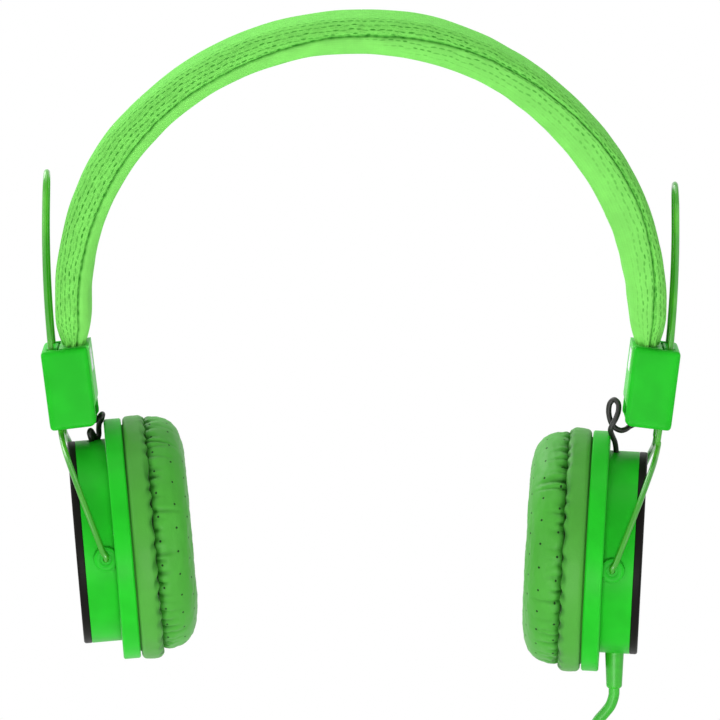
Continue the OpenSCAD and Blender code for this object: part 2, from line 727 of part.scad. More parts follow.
module baffle_screws() {
    at_posts(-plate_t - seat - screw_head_t) outward() difference() {
        union() {
            cylinder(d = screw_head_d, h = screw_head_t, $fn = 32);
            cylinder(d = screw_d, h = screw_head_t + plate_t + seat + screw_grip, $fn = 32);
        }
        for (turn = [0, 90]) rotate([0, 0, turn])
            translate([-cross_w / 2, -far, -1]) cube([cross_w, 2 * far, 1 + cross_w]);
    }
}

driver_x = -baffle_h + lip_t + seat;
yoke_x = 2.2;
yoke_t = 1;
yoke_r = 12.8;
yoke_hole_r = 6;
magnet_r = 11;
magnet_t = 2.75;

module driver_frame() {
    r = driver_r;
    step = yoke_x - yoke_t;
    turned([[r - 1.4, driver_x], [r, driver_x], [r, driver_x + 1.6], [yoke_r, step],
        [yoke_r, yoke_x], [yoke_hole_r, yoke_x], [yoke_hole_r, step], [yoke_r - 1.4, step],
        [yoke_r - 1.4, step - 0.3], [r - 1.4, driver_x + 0.9]]);
}

module driver_magnet() {
    x = yoke_x + seat;
    e = 0.6;
    turned([[0, x], [magnet_r, x], [magnet_r, x + magnet_t - e], [magnet_r - e, x + magnet_t],
        [0, x + magnet_t]]);
}

// Domed diaphragm with its corrugated surround
module driver_diaphragm() {
    rim = driver_r - 1.4 - 0.1;
    front = driver_x + 0.15;
    skin_t = 0.3;
    line = concat([[rim, front]],
        [for (i = [0:6]) [mix(rim - 0.4, 7.6, i / 6), front + 0.9 * sin(30 * i)]],
        [for (a = [0:15:75]) [7.2 * cos(a), front + 1.4 * sin(a)]], [[0, front + 1.4]]);
    turned(concat(line, flip([for (p = line) [p[0], p[1] + skin_t]])));
}

module driver_grille() {
    r = driver_r - 1.6;
    difference() {
        turned([[0, -baffle_h + 0.02], [r, -baffle_h + 0.02], [r, -baffle_h + lip_t],
            [0, -baffle_h + lip_t]]);
        for (ring = [0:3], k = [0:max(0, 6 * ring - 1)])
            rotate([360 * k / max(1, 6 * ring) + 15 * ring, 0, 0]) translate([-far / 2, 4.4 * ring, 0])
                outward() cylinder(d = 2.2, h = far, $fn = 24);
    }
}

cloth_r = driver_r + 1.2;
cloth_t = 0.4;
roll_edge = 1.6;

module acoustic_cloth() {
    outward() translate([0, 0, cushion_x + 0.03]) cylinder(r = cloth_r, h = cloth_t, $fn = 64);
}

// Rolled back edge of the pad, with the inner hoop that clips on the baffle
module pad_flange() {
    r = flange_r;
    e = roll_edge;
    turned(concat(
        [[driver_r - 1.8, flange_x], [r - 2.9, flange_x]],
        [for (a = [90:-15:0]) [r - e + e * cos(a), roll_x - e + e * sin(a)]],
        [for (a = [0:-15:-90]) [r - e + e * cos(a), cushion_x + e + e * sin(a)]],
        [[cloth_r + seat, cushion_x], [cloth_r + seat, cushion_x + cloth_t + 2 * seat],
         [driver_r - 1.8, cushion_x + cloth_t + 2 * seat]]));
}

// Leatherette cushion: drawn-in seam, round shoulder, flat crown and its opening
gathers = 36;
cushion_sides = 72;
function cushion_line(a) =
    let (r = cushion_r, h = cushion_h, x = cushion_x - seat, w = cushion_hole_r,
         pucker = 0.3 * cos(a * gathers))
    [[w + 0.6, x], [r - 1.6, x], [r - 0.5 + pucker * 0.4, x - 0.5],
     [r + pucker, x - 1.6], [r + 0.1 + pucker * 0.8, x - 3], [r - 0.2 + pucker * 0.4, x - h + 6.4],
     [r - 1, x - h + 4.5], [r - 2.3, x - h + 2.9], [r - 4.2, x - h + 1.6], [r - 7, x - h + 0.5],
     [w + 8, x - h + 0.1], [w + 4.6, x - h + 0.2], [w + 1.8, x - h + 1.6], [w + 0.2, x - h + 4.6],
     [w, x - 2.4]];

module ear_cushion() {
    skin([for (i = [0:cushion_sides - 1])
        let (a = 360 * i / cushion_sides)
        [for (p = cushion_line(a)) [p[1], p[0] * cos(a), p[0] * sin(a)]]], closed = true);
}

module terminal_board() {
    board = [0.8, 12, 6];
    translate([deck_x - seat - board[0], -board[1] / 2, -20]) cube(board);
    for (y = [-4, 0, 4]) translate([deck_x - seat - board[0] - 0.6, y, -17]) outward()
        cylinder(d1 = 1, d2 = 2, h = 0.7, $fn = 24);
}

cup_green = [0.2, 0.72, 0.2];
pad_green = [0.36, 0.7, 0.28];
module left_cap_disc() { color([0.1, 0.1, 0.09]) half(1) in_cup(1) cap_disc(); }
module right_cap_disc() { color([0.1, 0.1, 0.09]) half(-1) in_cup(-1) cap_disc(); }
module left_cup_housing() { color([0.16, 0.64, 0.16]) half(1) in_cup(1) cup_housing(1); }
module right_cup_housing() { color([0.16, 0.64, 0.16]) half(-1) in_cup(-1) cup_housing(-1); }
module left_pivot_bushes() { color([0.18, 0.66, 0.16]) half(1) in_cup(1) pivot_bushes(); }
module right_pivot_bushes() { color([0.18, 0.66, 0.16]) half(-1) in_cup(-1) pivot_bushes(); }
module left_baffle_ring() { color(cup_green) half(1) in_cup(1) baffle_ring(); }
module right_baffle_ring() { color(cup_green) half(-1) in_cup(-1) baffle_ring(); }
module left_baffle_screws() { color("silver") half(1) in_cup(1) baffle_screws(); }
module right_baffle_screws() { color("silver") half(-1) in_cup(-1) baffle_screws(); }
module left_driver_frame() { color([0.2, 0.2, 0.2]) half(1) in_cup(1) driver_frame(); }
module right_driver_frame() { color([0.2, 0.2, 0.2]) half(-1) in_cup(-1) driver_frame(); }
module left_driver_magnet() { color([0.5, 0.5, 0.5]) half(1) in_cup(1) driver_magnet(); }
module right_driver_magnet() { color([0.5, 0.5, 0.5]) half(-1) in_cup(-1) driver_magnet(); }
module left_driver_diaphragm() { color([0.8, 0.8, 0.7]) half(1) in_cup(1) driver_diaphragm(); }
module right_driver_diaphragm() { color([0.8, 0.8, 0.7]) half(-1) in_cup(-1) driver_diaphragm(); }
module left_driver_grille() { color([0.1, 0.1, 0.1]) half(1) in_cup(1) driver_grille(); }
module right_driver_grille() { color([0.1, 0.1, 0.1]) half(-1) in_cup(-1) driver_grille(); }
module left_acoustic_cloth() { color([0.12, 0.12, 0.12]) half(1) in_cup(1) acoustic_cloth(); }
module right_acoustic_cloth() { color([0.12, 0.12, 0.12]) half(-1) in_cup(-1) acoustic_cloth(); }
module left_pad_flange() { color([0.28, 0.62, 0.2]) half(1) in_cup(1) pad_flange(); }
module right_pad_flange() { color([0.28, 0.62, 0.2]) half(-1) in_cup(-1) pad_flange(); }
module left_ear_cushion() { color(pad_green) half(1) in_cup(1) ear_cushion(); }
module right_ear_cushion() { color(pad_green) half(-1) in_cup(-1) ear_cushion(); }
module left_terminal_board() { color([0.1, 0.4, 0.2]) half(1) in_cup(1) terminal_board(); }
module right_terminal_board() { color([0.1, 0.4, 0.2]) half(-1) in_cup(-1) terminal_board(); }

// ---------- cable ----------
// The relief's frame: its base is on the housing's lowest line, +Z points up into the cup
module in_relief() {
    translate([relief_x, 0, -housing_r]) rotate([0, -relief_lean, 0]) children();
}

relief_tip_d = 4.6;
collar_z = housing_wall + 0.4;

module strain_relief() {
    r = relief_d / 2;
    tip = relief_tip_d / 2;
    e = 1;
    top = collar_z + relief_collar_t;
    rotate_extrude($fn = 48) polygon(concat(
        [[0, top], [r + relief_collar, top], [r + relief_collar, collar_z], [r, collar_z], [r, 0]],
        [for (a = [0:-15:-90]) [tip - e + e * cos(a), -relief_len + e + e * sin(a)]],
        [[0, -relief_len]]));
}

cable_green = [0.22, 0.69, 0.14];
module left_strain_relief() { color(cable_green) half(1) in_cup(1) in_relief() strain_relief(); }

// Point of the cup frame in the object's frame, for the left cup
function turn_y(v, a) = [v[0] * cos(a) + v[2] * sin(a), v[1], -v[0] * sin(a) + v[2] * cos(a)];
function turn_z(v, a) = [v[0] * cos(a) - v[1] * sin(a), v[0] * sin(a) + v[1] * cos(a), v[2]];
function left_cup_point(p) =
    slide_at + turn_y(pivot_at - slide_at
        + turn_z(turn_y(p - [pivot_up, 0, 0], left_tilt - left_turn), -toe), left_turn);

// The cable swings about this point, just clear of the relief's tip
swing_gap = cable_d / 2 + 0.05;
swing_at = left_cup_point([relief_x, 0, -housing_r]
    + turn_y([0, 0, -relief_len - swing_gap], -relief_lean));

// Free stretch from the relief to the coil, by hand, from the swing point
lead_route = [[0, 0, 0], [-0.3, 0, -1.5], [-1.1, 0, -3.6], [-2.6, 0, -5.6], [-4.6, 0, -8],
    [-6.4, -0.6, -11.2], [-7.4, -2.6, -15.4], [-7.6, -6.4, -20.6], [-7, -12, -27.4],
    [-6.2, -18.8, -34.8], [-5.4, -24.8, -42], [-5, -28.4, -49], [-5, -29, -53], [-5, -29, -56.2]];
// Free stretch from the coil to the plug
tail_route = [[-1, -29, -66.8], [-1, -29, -70], [-1.6, -28.6, -75], [-2.2, -27.2, -82],
    [-2.6, -26, -89], [-2.6, -25.6, -94], [-2.6, -25.6, -97.2]];
coil_mid = [-3, 0, -61.4];
layer_gap = 4;

// Centre line of the coil: loops spiral in on one layer and out again on the next
coil_rings = 24;
function coil_radius(t) = coil_r - coil_pitch * (t < coil_loops / 2 ? t : coil_loops - t);
function coil_side(t) = let (s = (t - coil_loops / 2 + 0.25) * 2)
    layer_gap * (min(max(s, 0), 1) - 0.5);
function coil_point(t) = coil_mid + [coil_side(t),
    -coil_radius(t) * cos(360 * t), -coil_radius(t) * sin(360 * t)];
coil_start = [coil_mid[0] - layer_gap / 2, -coil_r, coil_mid[2] + 2];
coil_path = concat([[coil_start[0], coil_start[1], coil_mid[2] + cable_d + 2]], [coil_start],
    [for (i = [0:coil_loops * coil_rings]) coil_point(i / coil_rings)],
    [[coil_mid[0] + layer_gap / 2, -coil_r, coil_mid[2] - 2],
     [coil_mid[0] + layer_gap / 2, -coil_r, coil_mid[2] - 2 - cable_d]]);

// Least gap between the coil's surface and itself, a third of a loop or more apart
coil_self_gap = min([for (i = [0:3:len(coil_path) - 9], j = [i + 8:1:len(coil_path) - 1])
    norm(coil_path[i] - coil_path[j])]) - cable_d;
echo(coil_self_gap = coil_self_gap);
coil_len = [for (i = [1:len(coil_path) - 1]) norm(coil_path[i] - coil_path[i - 1])]
    * [for (i = [1:len(coil_path) - 1]) 1];
echo(coil_length = coil_len, swing_at = swing_at, slide_at = slide_at, pivot_at = pivot_at);
echo(block_at = block_at, fold_at = block_at + pin_x * lean_dir + pin_z * lean_up);

// Rings of the lead's rounded top, from its tip down to the route's first ring
function dome_rings(first, mid, down, r) = [for (a = [75, 50, 25])
    [for (p = first) mid - r * sin(a) * down + (p - mid) * cos(a)]];

module cable_lead() {
    sides = tube_rings(lead_route, cable_d / 2, 8, [0, 1, 0]);
    top = dome_rings(sides[0], lead_route[0], heading(lead_route, 0), cable_d / 2);
    color(cable_green) translate(swing_at) skin(concat(top, sides));
}

module cable_coil() {
    color(cable_green) translate(swing_at) tube(coil_path, cable_d, 6, [1, 0, 0]);
}

module cable_tail() {
    color(cable_green) translate(swing_at) tube(tail_route, cable_d, 8, [1, 0, 0]);
}

// Strap round the coil's loops, opposite the side where the cable comes and goes
module cable_tie() {
    gap = 0.3;
    strap = 1;
    high = layer_gap + cable_d + 2 * gap;
    inner = coil_r - coil_loops / 2 * coil_pitch - cable_d / 2 - gap - 1;
    outer = coil_r + cable_d / 2 + gap;
    width = 5;
    color([0.12, 0.12, 0.12]) translate(swing_at + coil_mid) difference() {
        translate([-high / 2 - strap, inner - strap, -width / 2])
            cube([high + 2 * strap, outer - inner + 2 * strap, width]);
        translate([-high / 2, inner, -width]) cube([high, outer - inner, 2 * width]);
    }
}

plug_at = tail_route[len(tail_route) - 1];
boot_len = 9;
body_len = 13;
jack_len = 14;
jack_r = 1.75;

module on_plug() {
    translate(swing_at + plug_at) mirror([0, 0, 1]) children();
}

boot_r = 2.2;
boot_base_r = 3.1;
body_r = 3.9;

module plug_boot() {
    color(cable_green) on_plug() rotate_extrude($fn = 48) polygon([[0, 0.02], [boot_r, 0.02],
        [boot_r + 0.2, 0.6], [boot_base_r, boot_len], [0, boot_len]]);
}

module plug_body() {
    color(cable_green) on_plug() translate([0, 0, boot_len + 0.02]) rotate_extrude($fn = 48)
        polygon([[0, 0], [body_r - 0.3, 0], [body_r, 0.5], [body_r, body_len - 0.6],
            [body_r - 0.5, body_len], [0, body_len]]);
}

// Three-contact jack, 3.5 mm: sleeve, ring and tip with an insulator groove between them
jack_grooves = [4.4, 8.4];
groove_w = 0.5;
groove_depth = 0.2;
tip_len = 3.8;
tip_neck_r = 1.1;

module plug_contacts() {
    tip = jack_len - tip_len;
    color("gold") on_plug() translate([0, 0, boot_len + body_len + 0.04])
        rotate_extrude($fn = 48) polygon(concat([[0, 0], [jack_r, 0]],
            [for (g = jack_grooves) each [[jack_r, g], [jack_r - groove_depth, g + 0.1],
                [jack_r - groove_depth, g + groove_w - 0.1], [jack_r, g + groove_w]]],
            [[jack_r, tip], [tip_neck_r, tip + 1], [jack_r - 0.15, tip + 2], [0.5, jack_len],
             [0, jack_len]]));
}

headband_cover();
headband_lining();
headband_foam_top();
headband_foam_under();
headband_spring();
headband_lead();
left_band_end();
right_band_end();
left_side_mark();
right_side_mark();
band_rivets();
left_slider_block();
right_slider_block();
left_slider_cover();
right_slider_cover();
left_cover_screws();
right_cover_screws();
left_friction_spring();
right_friction_spring();
left_fold_pin();
right_fold_pin();
left_slack_lead();
right_slack_lead();
left_wire_arm();
right_wire_arm();
left_cap_disc();
right_cap_disc();
left_cup_housing();
right_cup_housing();
left_pivot_bushes();
right_pivot_bushes();
left_baffle_ring();
right_baffle_ring();
left_baffle_screws();
right_baffle_screws();
left_driver_frame();
right_driver_frame();
left_driver_magnet();
right_driver_magnet();
left_driver_diaphragm();
right_driver_diaphragm();
left_driver_grille();
right_driver_grille();
left_acoustic_cloth();
right_acoustic_cloth();
left_pad_flange();
right_pad_flange();
left_ear_cushion();
right_ear_cushion();
left_terminal_board();
right_terminal_board();
left_strain_relief();
cable_lead();
cable_coil();
cable_tail();
cable_tie();
plug_boot();
plug_body();
plug_contacts();
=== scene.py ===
"""Folding on-ear headphone: its finishes and soft pieces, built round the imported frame.

Metres. The origin is the inner top of the headband, where it rests on the head. +Z is up,
+X is the wearer's left and -Y the wearer's front. Sizes named in millimetres end in _mm.
"""

from __future__ import annotations

import logging
import math
import random
from dataclasses import dataclass, field
from enum import Enum
from itertools import accumulate
from typing import Callable, Iterable, Iterator, Sequence

import bpy
from mathutils import Matrix, Vector, noise
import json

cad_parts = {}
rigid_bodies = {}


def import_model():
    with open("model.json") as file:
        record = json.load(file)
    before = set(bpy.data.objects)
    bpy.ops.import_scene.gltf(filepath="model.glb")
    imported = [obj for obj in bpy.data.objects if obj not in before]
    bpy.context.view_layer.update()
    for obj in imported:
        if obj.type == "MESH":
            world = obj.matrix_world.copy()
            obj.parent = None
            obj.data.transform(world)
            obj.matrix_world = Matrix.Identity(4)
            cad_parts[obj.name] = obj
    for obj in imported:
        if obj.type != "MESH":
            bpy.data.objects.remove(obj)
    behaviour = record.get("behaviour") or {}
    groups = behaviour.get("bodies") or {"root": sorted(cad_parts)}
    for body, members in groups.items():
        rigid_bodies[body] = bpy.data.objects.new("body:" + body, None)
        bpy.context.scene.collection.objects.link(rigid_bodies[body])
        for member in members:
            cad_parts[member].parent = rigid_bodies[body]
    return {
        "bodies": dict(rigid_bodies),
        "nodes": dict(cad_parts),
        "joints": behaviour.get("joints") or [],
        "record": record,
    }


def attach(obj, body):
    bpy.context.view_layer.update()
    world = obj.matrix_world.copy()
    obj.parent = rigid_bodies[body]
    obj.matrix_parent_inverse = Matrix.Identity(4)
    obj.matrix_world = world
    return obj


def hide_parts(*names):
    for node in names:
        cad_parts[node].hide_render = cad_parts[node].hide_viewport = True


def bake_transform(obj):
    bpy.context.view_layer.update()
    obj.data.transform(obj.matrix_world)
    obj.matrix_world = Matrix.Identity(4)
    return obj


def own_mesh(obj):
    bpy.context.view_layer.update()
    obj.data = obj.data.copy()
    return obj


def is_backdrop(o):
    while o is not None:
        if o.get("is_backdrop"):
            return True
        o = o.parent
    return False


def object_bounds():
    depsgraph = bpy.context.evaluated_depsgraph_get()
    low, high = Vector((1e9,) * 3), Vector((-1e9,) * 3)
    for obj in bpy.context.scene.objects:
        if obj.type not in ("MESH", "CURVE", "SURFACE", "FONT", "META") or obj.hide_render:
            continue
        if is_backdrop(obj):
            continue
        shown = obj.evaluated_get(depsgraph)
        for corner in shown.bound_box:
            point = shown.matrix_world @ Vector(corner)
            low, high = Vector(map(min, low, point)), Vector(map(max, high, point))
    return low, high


LOG = logging.getLogger("headphone")
MM = 0.001
TURN = 2 * math.pi

Point = Sequence[float]
Colour = tuple[float, float, float]


class Side(Enum):
    """The wearer's side that a piece is on. The value is the sign of its X."""

    LEFT = 1
    RIGHT = -1

    @property
    def label(self) -> str:
        """The first word of the side's node and body names."""
        return self.name.lower()

    @property
    def mirror(self) -> Matrix:
        """Turns a shape drawn for the left side into this side's."""
        return Matrix.Diagonal((self.value, 1, 1, 1))


def mix(a: float, b: float, share: float) -> float:
    """The value that lies at this share of the way from a to b."""
    return a + (b - a) * share


def smooth(value: float) -> float:
    """Eases a value from 0 to 1, and holds it outside that range."""
    value = min(max(value, 0.0), 1.0)
    return value * value * (3 - 2 * value)


def bell(distance: float, width: float) -> float:
    """A bump of height 1 that fades over a width."""
    return math.exp(-((distance / width) ** 2))


def between(rows: Sequence[Point], at: float) -> list[float]:
    """Reads a table between its rows.

    Args:
        rows: A place and its values in each row, the places rising.
        at: The place to read at.

    Returns:
        The values there, eased from row to row, or the last row's beyond it.
    """
    for (a, *low), (b, *high) in zip(rows, rows[1:]):
        if at <= b:
            share = smooth((at - a) / (b - a))
            return [mix(p, q, share) for p, q in zip(low, high)]
    return list(rows[-1][1:])


def linear(red: float, green: float, blue: float) -> Colour:
    """Scene colour from display values of 0 to 255."""

    def channel(value: float) -> float:
        value /= 255
        return value / 12.92 if value <= 0.04045 else ((value + 0.055) / 1.055) ** 2.4

    return channel(red), channel(green), channel(blue)


def darker(colour: Colour, share: float) -> Colour:
    """A colour with each of its parts cut to this share."""
    return tuple(c * share for c in colour)


def walk(reach: Sequence[float], wants: Iterable[float]) -> Iterator[tuple[int, float]]:
    """Finds places along a line.

    Args:
        reach: How far along the line each of its points is.
        wants: How far along the places are, in rising order.

    Yields:
        The piece of the line that a place is on, and its share of the way along it.
    """
    i = 0
    for want in wants:
        while i < len(reach) - 2 and reach[i + 1] < want:
            i += 1
        yield i, (want - reach[i]) / (reach[i + 1] - reach[i])


def metres(points: Iterable[Point]) -> list[Vector]:
    """Points given in millimetres as vectors in metres."""
    return [Vector(p) * MM for p in points]


def rounded_route(points: Sequence[Vector], steps: int) -> list[Vector]:
    """A smooth line through points.

    Args:
        points: The points that the line passes through.
        steps: How many pieces each span is cut into.

    Returns:
        The points of the line, ends included.
    """
    line = []
    last = len(points) - 1
    for i in range(last):
        before, a, b, after = (points[max(i - 1, 0)], points[i], points[i + 1],
                               points[min(i + 2, last)])
        for k in range(steps):
            t = k / steps
            line.append(0.5 * (2 * a + (b - before) * t
                               + (2 * before - 5 * a + 4 * b - after) * t * t
                               + (3 * a - before - 3 * b + after) * t ** 3))
    return line + [points[last].copy()]


# ---------- shaders ----------


class Socket:
    """A shader value that takes part in Python sums."""

    def __init__(self, tree: ShaderTree, output: bpy.types.NodeSocket) -> None:
        """Wraps one output of a node in a tree."""
        self.tree = tree
        self.output = output

    def _maths(self, operation: str, *values: Socket | float) -> Socket:
        """A Math node over these values."""
        return self.tree.add("ShaderNodeMath", {"operation": operation}, *values)

    def __add__(self, other: Socket | float) -> Socket:
        """This value plus another."""
        return self._maths("ADD", self, other)

    def __sub__(self, other: Socket | float) -> Socket:
        """This value less another."""
        return self._maths("SUBTRACT", self, other)

    def __rsub__(self, other: float) -> Socket:
        """A number less this value."""
        return self._maths("SUBTRACT", other, self)

    def __mul__(self, other: Socket | float) -> Socket:
        """This value times another."""
        return self._maths("MULTIPLY", self, other)

    __radd__ = __add__
    __rmul__ = __mul__

    def fraction(self) -> Socket:
        """What is left over a whole number."""
        return self._maths("FRACT", self)

    def whole(self) -> Socket:
        """The whole number below."""
        return self._maths("FLOOR", self)

    def size(self) -> Socket:
        """The value without its sign."""
        return self._maths("ABSOLUTE", self)

    def wave(self) -> Socket:
        """The sine of the value."""
        return self._maths("SINE", self)

    def larger(self, other: Socket | float) -> Socket:
        """The larger of the two."""
        return self._maths("MAXIMUM", self, other)

    def step(self, low: float, high: float) -> Socket:
        """Rises smoothly from 0 at low to 1 at high."""
        settings = {"interpolation_type": "SMOOTHSTEP"}
        return self.tree.add("ShaderNodeMapRange", settings, self, low, high, 0.0, 1.0)


class ShaderTree:
    """Builds the nodes of one material, or of the world."""

    def __init__(self, name: str, world: bool = False) -> None:
        """Starts a material or world of this name with only its output."""
        self.material = (bpy.data.worlds if world else bpy.data.materials).new(name)
        self.material.use_nodes = True
        self.nodes = self.material.node_tree.nodes
        self.links = self.material.node_tree.links
        self.nodes.clear()
        self.output = self.nodes.new(f"ShaderNodeOutput{'World' if world else 'Material'}")

    def make(self, kind: str, settings: dict | None = None, values: Sequence = (),
             named: dict | None = None) -> bpy.types.Node:
        """Adds a node.

        Args:
            kind: The node's type.
            settings: Its own settings, set before its sockets.
            values: Numbers or sockets for its inputs, in order.
            named: The same, by the input's name.

        Returns:
            The node.
        """
        node = self.nodes.new(kind)
        for key, value in (settings or {}).items():
            if key == "stops":
                ramp = node.color_ramp
                for i, (place, shade) in enumerate(value):
                    stop = ramp.elements[i] if i < 2 else ramp.elements.new(place)
                    stop.position, stop.color = place, (*shade, 1)
            else:
                setattr(node, key, value)
        pairs = list(zip(node.inputs, values))
        pairs += [(node.inputs[key], value) for key, value in (named or {}).items()]
        for socket, value in pairs:
            self.fill(socket, value)
        return node

    def fill(self, socket: bpy.types.NodeSocket, value: object) -> None:
        """Links or sets one input."""
        if isinstance(value, Socket):
            self.links.new(value.output, socket)
        elif socket.type == "RGBA":
            socket.default_value = (*value, 1)
        elif value is not None:
            socket.default_value = value

    def add(self, kind: str, settings: dict | None, *values: Socket | float,
            out: int | str = 0, **named: object) -> Socket:
        """Adds a node and gives one of its outputs."""
        node = self.make(kind, settings, values, named)
        return Socket(self, node.outputs[out])

    def place(self) -> Socket:
        """Where the surface is, in metres."""
        return self.add("ShaderNodeTexCoord", None, out="Object")

    def cloth(self) -> tuple[Socket, Socket]:
        """The piece's own coordinates, along and across."""
        return self.split(self.add("ShaderNodeUVMap", {"uv_map": "cloth"}))

    def split(self, place: Socket) -> tuple[Socket, Socket]:
        """The first two parts of a place."""
        node = self.make("ShaderNodeSeparateXYZ", None, (place,))
        return Socket(self, node.outputs[0]), Socket(self, node.outputs[1])

    def noted(self, name: str = "fold") -> Socket:
        """A value from 0 to 1 noted on the piece, such as how much painted shade a point gets in
        a fold or at a seam.
        """
        return self.add("ShaderNodeAttribute", {"attribute_name": name}, out="Fac")

    def speckle(self, per_metre: float, detail: float = 2.0, rough: float = 0.5) -> Socket:
        """Noise from 0 to 1, with this many blobs in a metre."""
        return self.add("ShaderNodeTexNoise", None, Vector=self.place(), Scale=per_metre,
                        Detail=detail, Roughness=rough, out="Fac")

    def pores(self, per_metre: float) -> Socket:
        """Distance to the middle of the nearest cell, in cells."""
        return self.add("ShaderNodeTexVoronoi", {"feature": "F1"}, Vector=self.place(),
                        Scale=per_metre, out="Distance")

    def eyelets(self, along: Socket, across: Socket, along_mm: float,
                across_mm: float) -> Socket:
        """Staggered slits of a knitted mesh, some deep and some nearly closed.

        Args:
            along: Way along the cloth in metres.
            across: Way across the cloth in metres.
            along_mm: Step from slit to slit in a row.
            across_mm: Step from row to row.

        Returns:
            1 in the middle of an open slit and 0 between slits.
        """
        drift = (self.speckle(170, 2) - 0.5) * 0.9
        rows = across * (1 / (across_mm * MM)) + drift
        row = rows.whole()
        steps = along * (1 / (along_mm * MM)) + (row * 0.53).fraction() + drift
        cell = self.add("ShaderNodeCombineXYZ", None, row, steps.whole())
        luck = self.add("ShaderNodeTexWhiteNoise", {"noise_dimensions": "2D"}, Vector=cell)
        x = (steps.fraction() - 0.5).size() * (2.1 + luck * 1.0)
        y = (rows.fraction() - 0.35 - luck * 0.3).size() * 7.5
        ragged = (self.speckle(1500, 3) - 0.5) * 1.8
        return (1 - (x * x + y * y + ragged).step(0.2, 1.7)) * (0.4 + luck * 0.6)

    def blend(self, share: Socket | float, low: Colour | Socket,
              high: Colour | Socket) -> Socket:
        """A colour between two others."""
        node = self.nodes.new("ShaderNodeMix")
        node.data_type = "RGBA"
        ends = [s for s in node.inputs if s.type == "RGBA"]
        for socket, value in ((node.inputs[0], share), (ends[0], low), (ends[1], high)):
            self.fill(socket, value)
        return Socket(self, next(s for s in node.outputs if s.type == "RGBA"))

    def relief(self, height: Socket, depth_mm: float, strength: float = 1.0) -> Socket:
        """A bumped normal from a height of 0 to 1."""
        return self.add("ShaderNodeBump", None, Height=height, Distance=depth_mm * MM,
                        Strength=strength, out="Normal")

    def seen(self) -> Socket:
        """1 for what the camera sees, straight or in a reflection or through a piece."""
        ray = self.make("ShaderNodeLightPath")
        kinds = [Socket(self, ray.outputs[f"Is {kind} Ray"])
                 for kind in ("Camera", "Glossy", "Transmission")]
        return kinds[0].larger(kinds[1]).larger(kinds[2])

    def end(self, kind: str, *values: Socket, **named: object) -> bpy.types.Material:
        """Ends the tree in one last shader."""
        self.links.new(self.add(kind, None, *values, **named).output, self.output.inputs[0])
        return self.material

    def shade(self, **sockets: object) -> bpy.types.Material:
        """Ends the material in one shader with these sockets, named with _ for spaces."""
        named = {key.replace("_", " "): value for key, value in sockets.items()}
        return self.end("ShaderNodeBsdfPrincipled", **named)


# ---------- finishes ----------


@dataclass(frozen=True)
class Finish:
    """What every finish has: its material's name, its colour and a surface of its own."""

    name: str
    colour: Colour

    def surface(self, tree: ShaderTree) -> bpy.types.Material:
        """Builds the surface in the material's empty tree."""
        raise NotImplementedError

    def build(self) -> bpy.types.Material:
        """Makes the material."""
        return self.surface(ShaderTree(self.name))

    def mottled(self, tree: ShaderTree, share: Socket, low: float) -> Socket:
        """The colour where share is 1, cut to low of itself where share is 0."""
        return tree.blend(share, darker(self.colour, low), self.colour)


@dataclass(frozen=True)
class Plastic(Finish):
    """Moulded plastic with a faint grain and slightly uneven gloss."""

    roughness: float
    grain_mm: float = 0.02
    glow: float = 0.0
    gleam: float = 0.08

    def surface(self, tree: ShaderTree) -> bpy.types.Material:
        """Builds the surface in the material's empty tree."""
        cloud = tree.speckle(90)
        grain = tree.speckle(2600, 3)
        return tree.shade(
            Base_Color=self.mottled(tree, cloud.step(0.3, 0.7), 0.86),
            Roughness=self.roughness + (grain - 0.5) * 0.12 + (cloud - 0.5) * 0.1,
            Normal=tree.relief(grain, self.grain_mm), Subsurface_Weight=self.glow,
            Subsurface_Radius=(0.4, 1.0, 0.35), Subsurface_Scale=0.0018,
            Specular_IOR_Level=self.gleam)


@dataclass(frozen=True)
class Metal(Finish):
    """Bare metal with fine scratches."""

    roughness: float

    def surface(self, tree: ShaderTree) -> bpy.types.Material:
        """Builds the surface in the material's empty tree."""
        scratch = tree.speckle(1400, 4, 0.7)
        return tree.shade(Base_Color=self.mottled(tree, scratch.step(0.35, 0.65), 0.7),
                          Metallic=1.0, Roughness=self.roughness + (scratch - 0.5) * 0.3,
                          Normal=tree.relief(scratch, 0.01))


@dataclass(frozen=True)
class Paint(Finish):
    """Gloss paint on steel wire, with a little ripple and thin spots."""

    thin: Colour

    def surface(self, tree: ShaderTree) -> bpy.types.Material:
        """Builds the surface in the material's empty tree."""
        ripple = tree.speckle(60, 2)
        fleck = tree.speckle(1900, 2)
        return tree.shade(
            Base_Color=tree.blend(ripple.step(0.4, 0.7), self.colour, self.thin),
            Roughness=0.26 + fleck * 0.08, Coat_Weight=0.5, Coat_Roughness=0.08,
            Specular_IOR_Level=0.3, Normal=tree.relief(ripple + fleck * 0.04, 0.03))


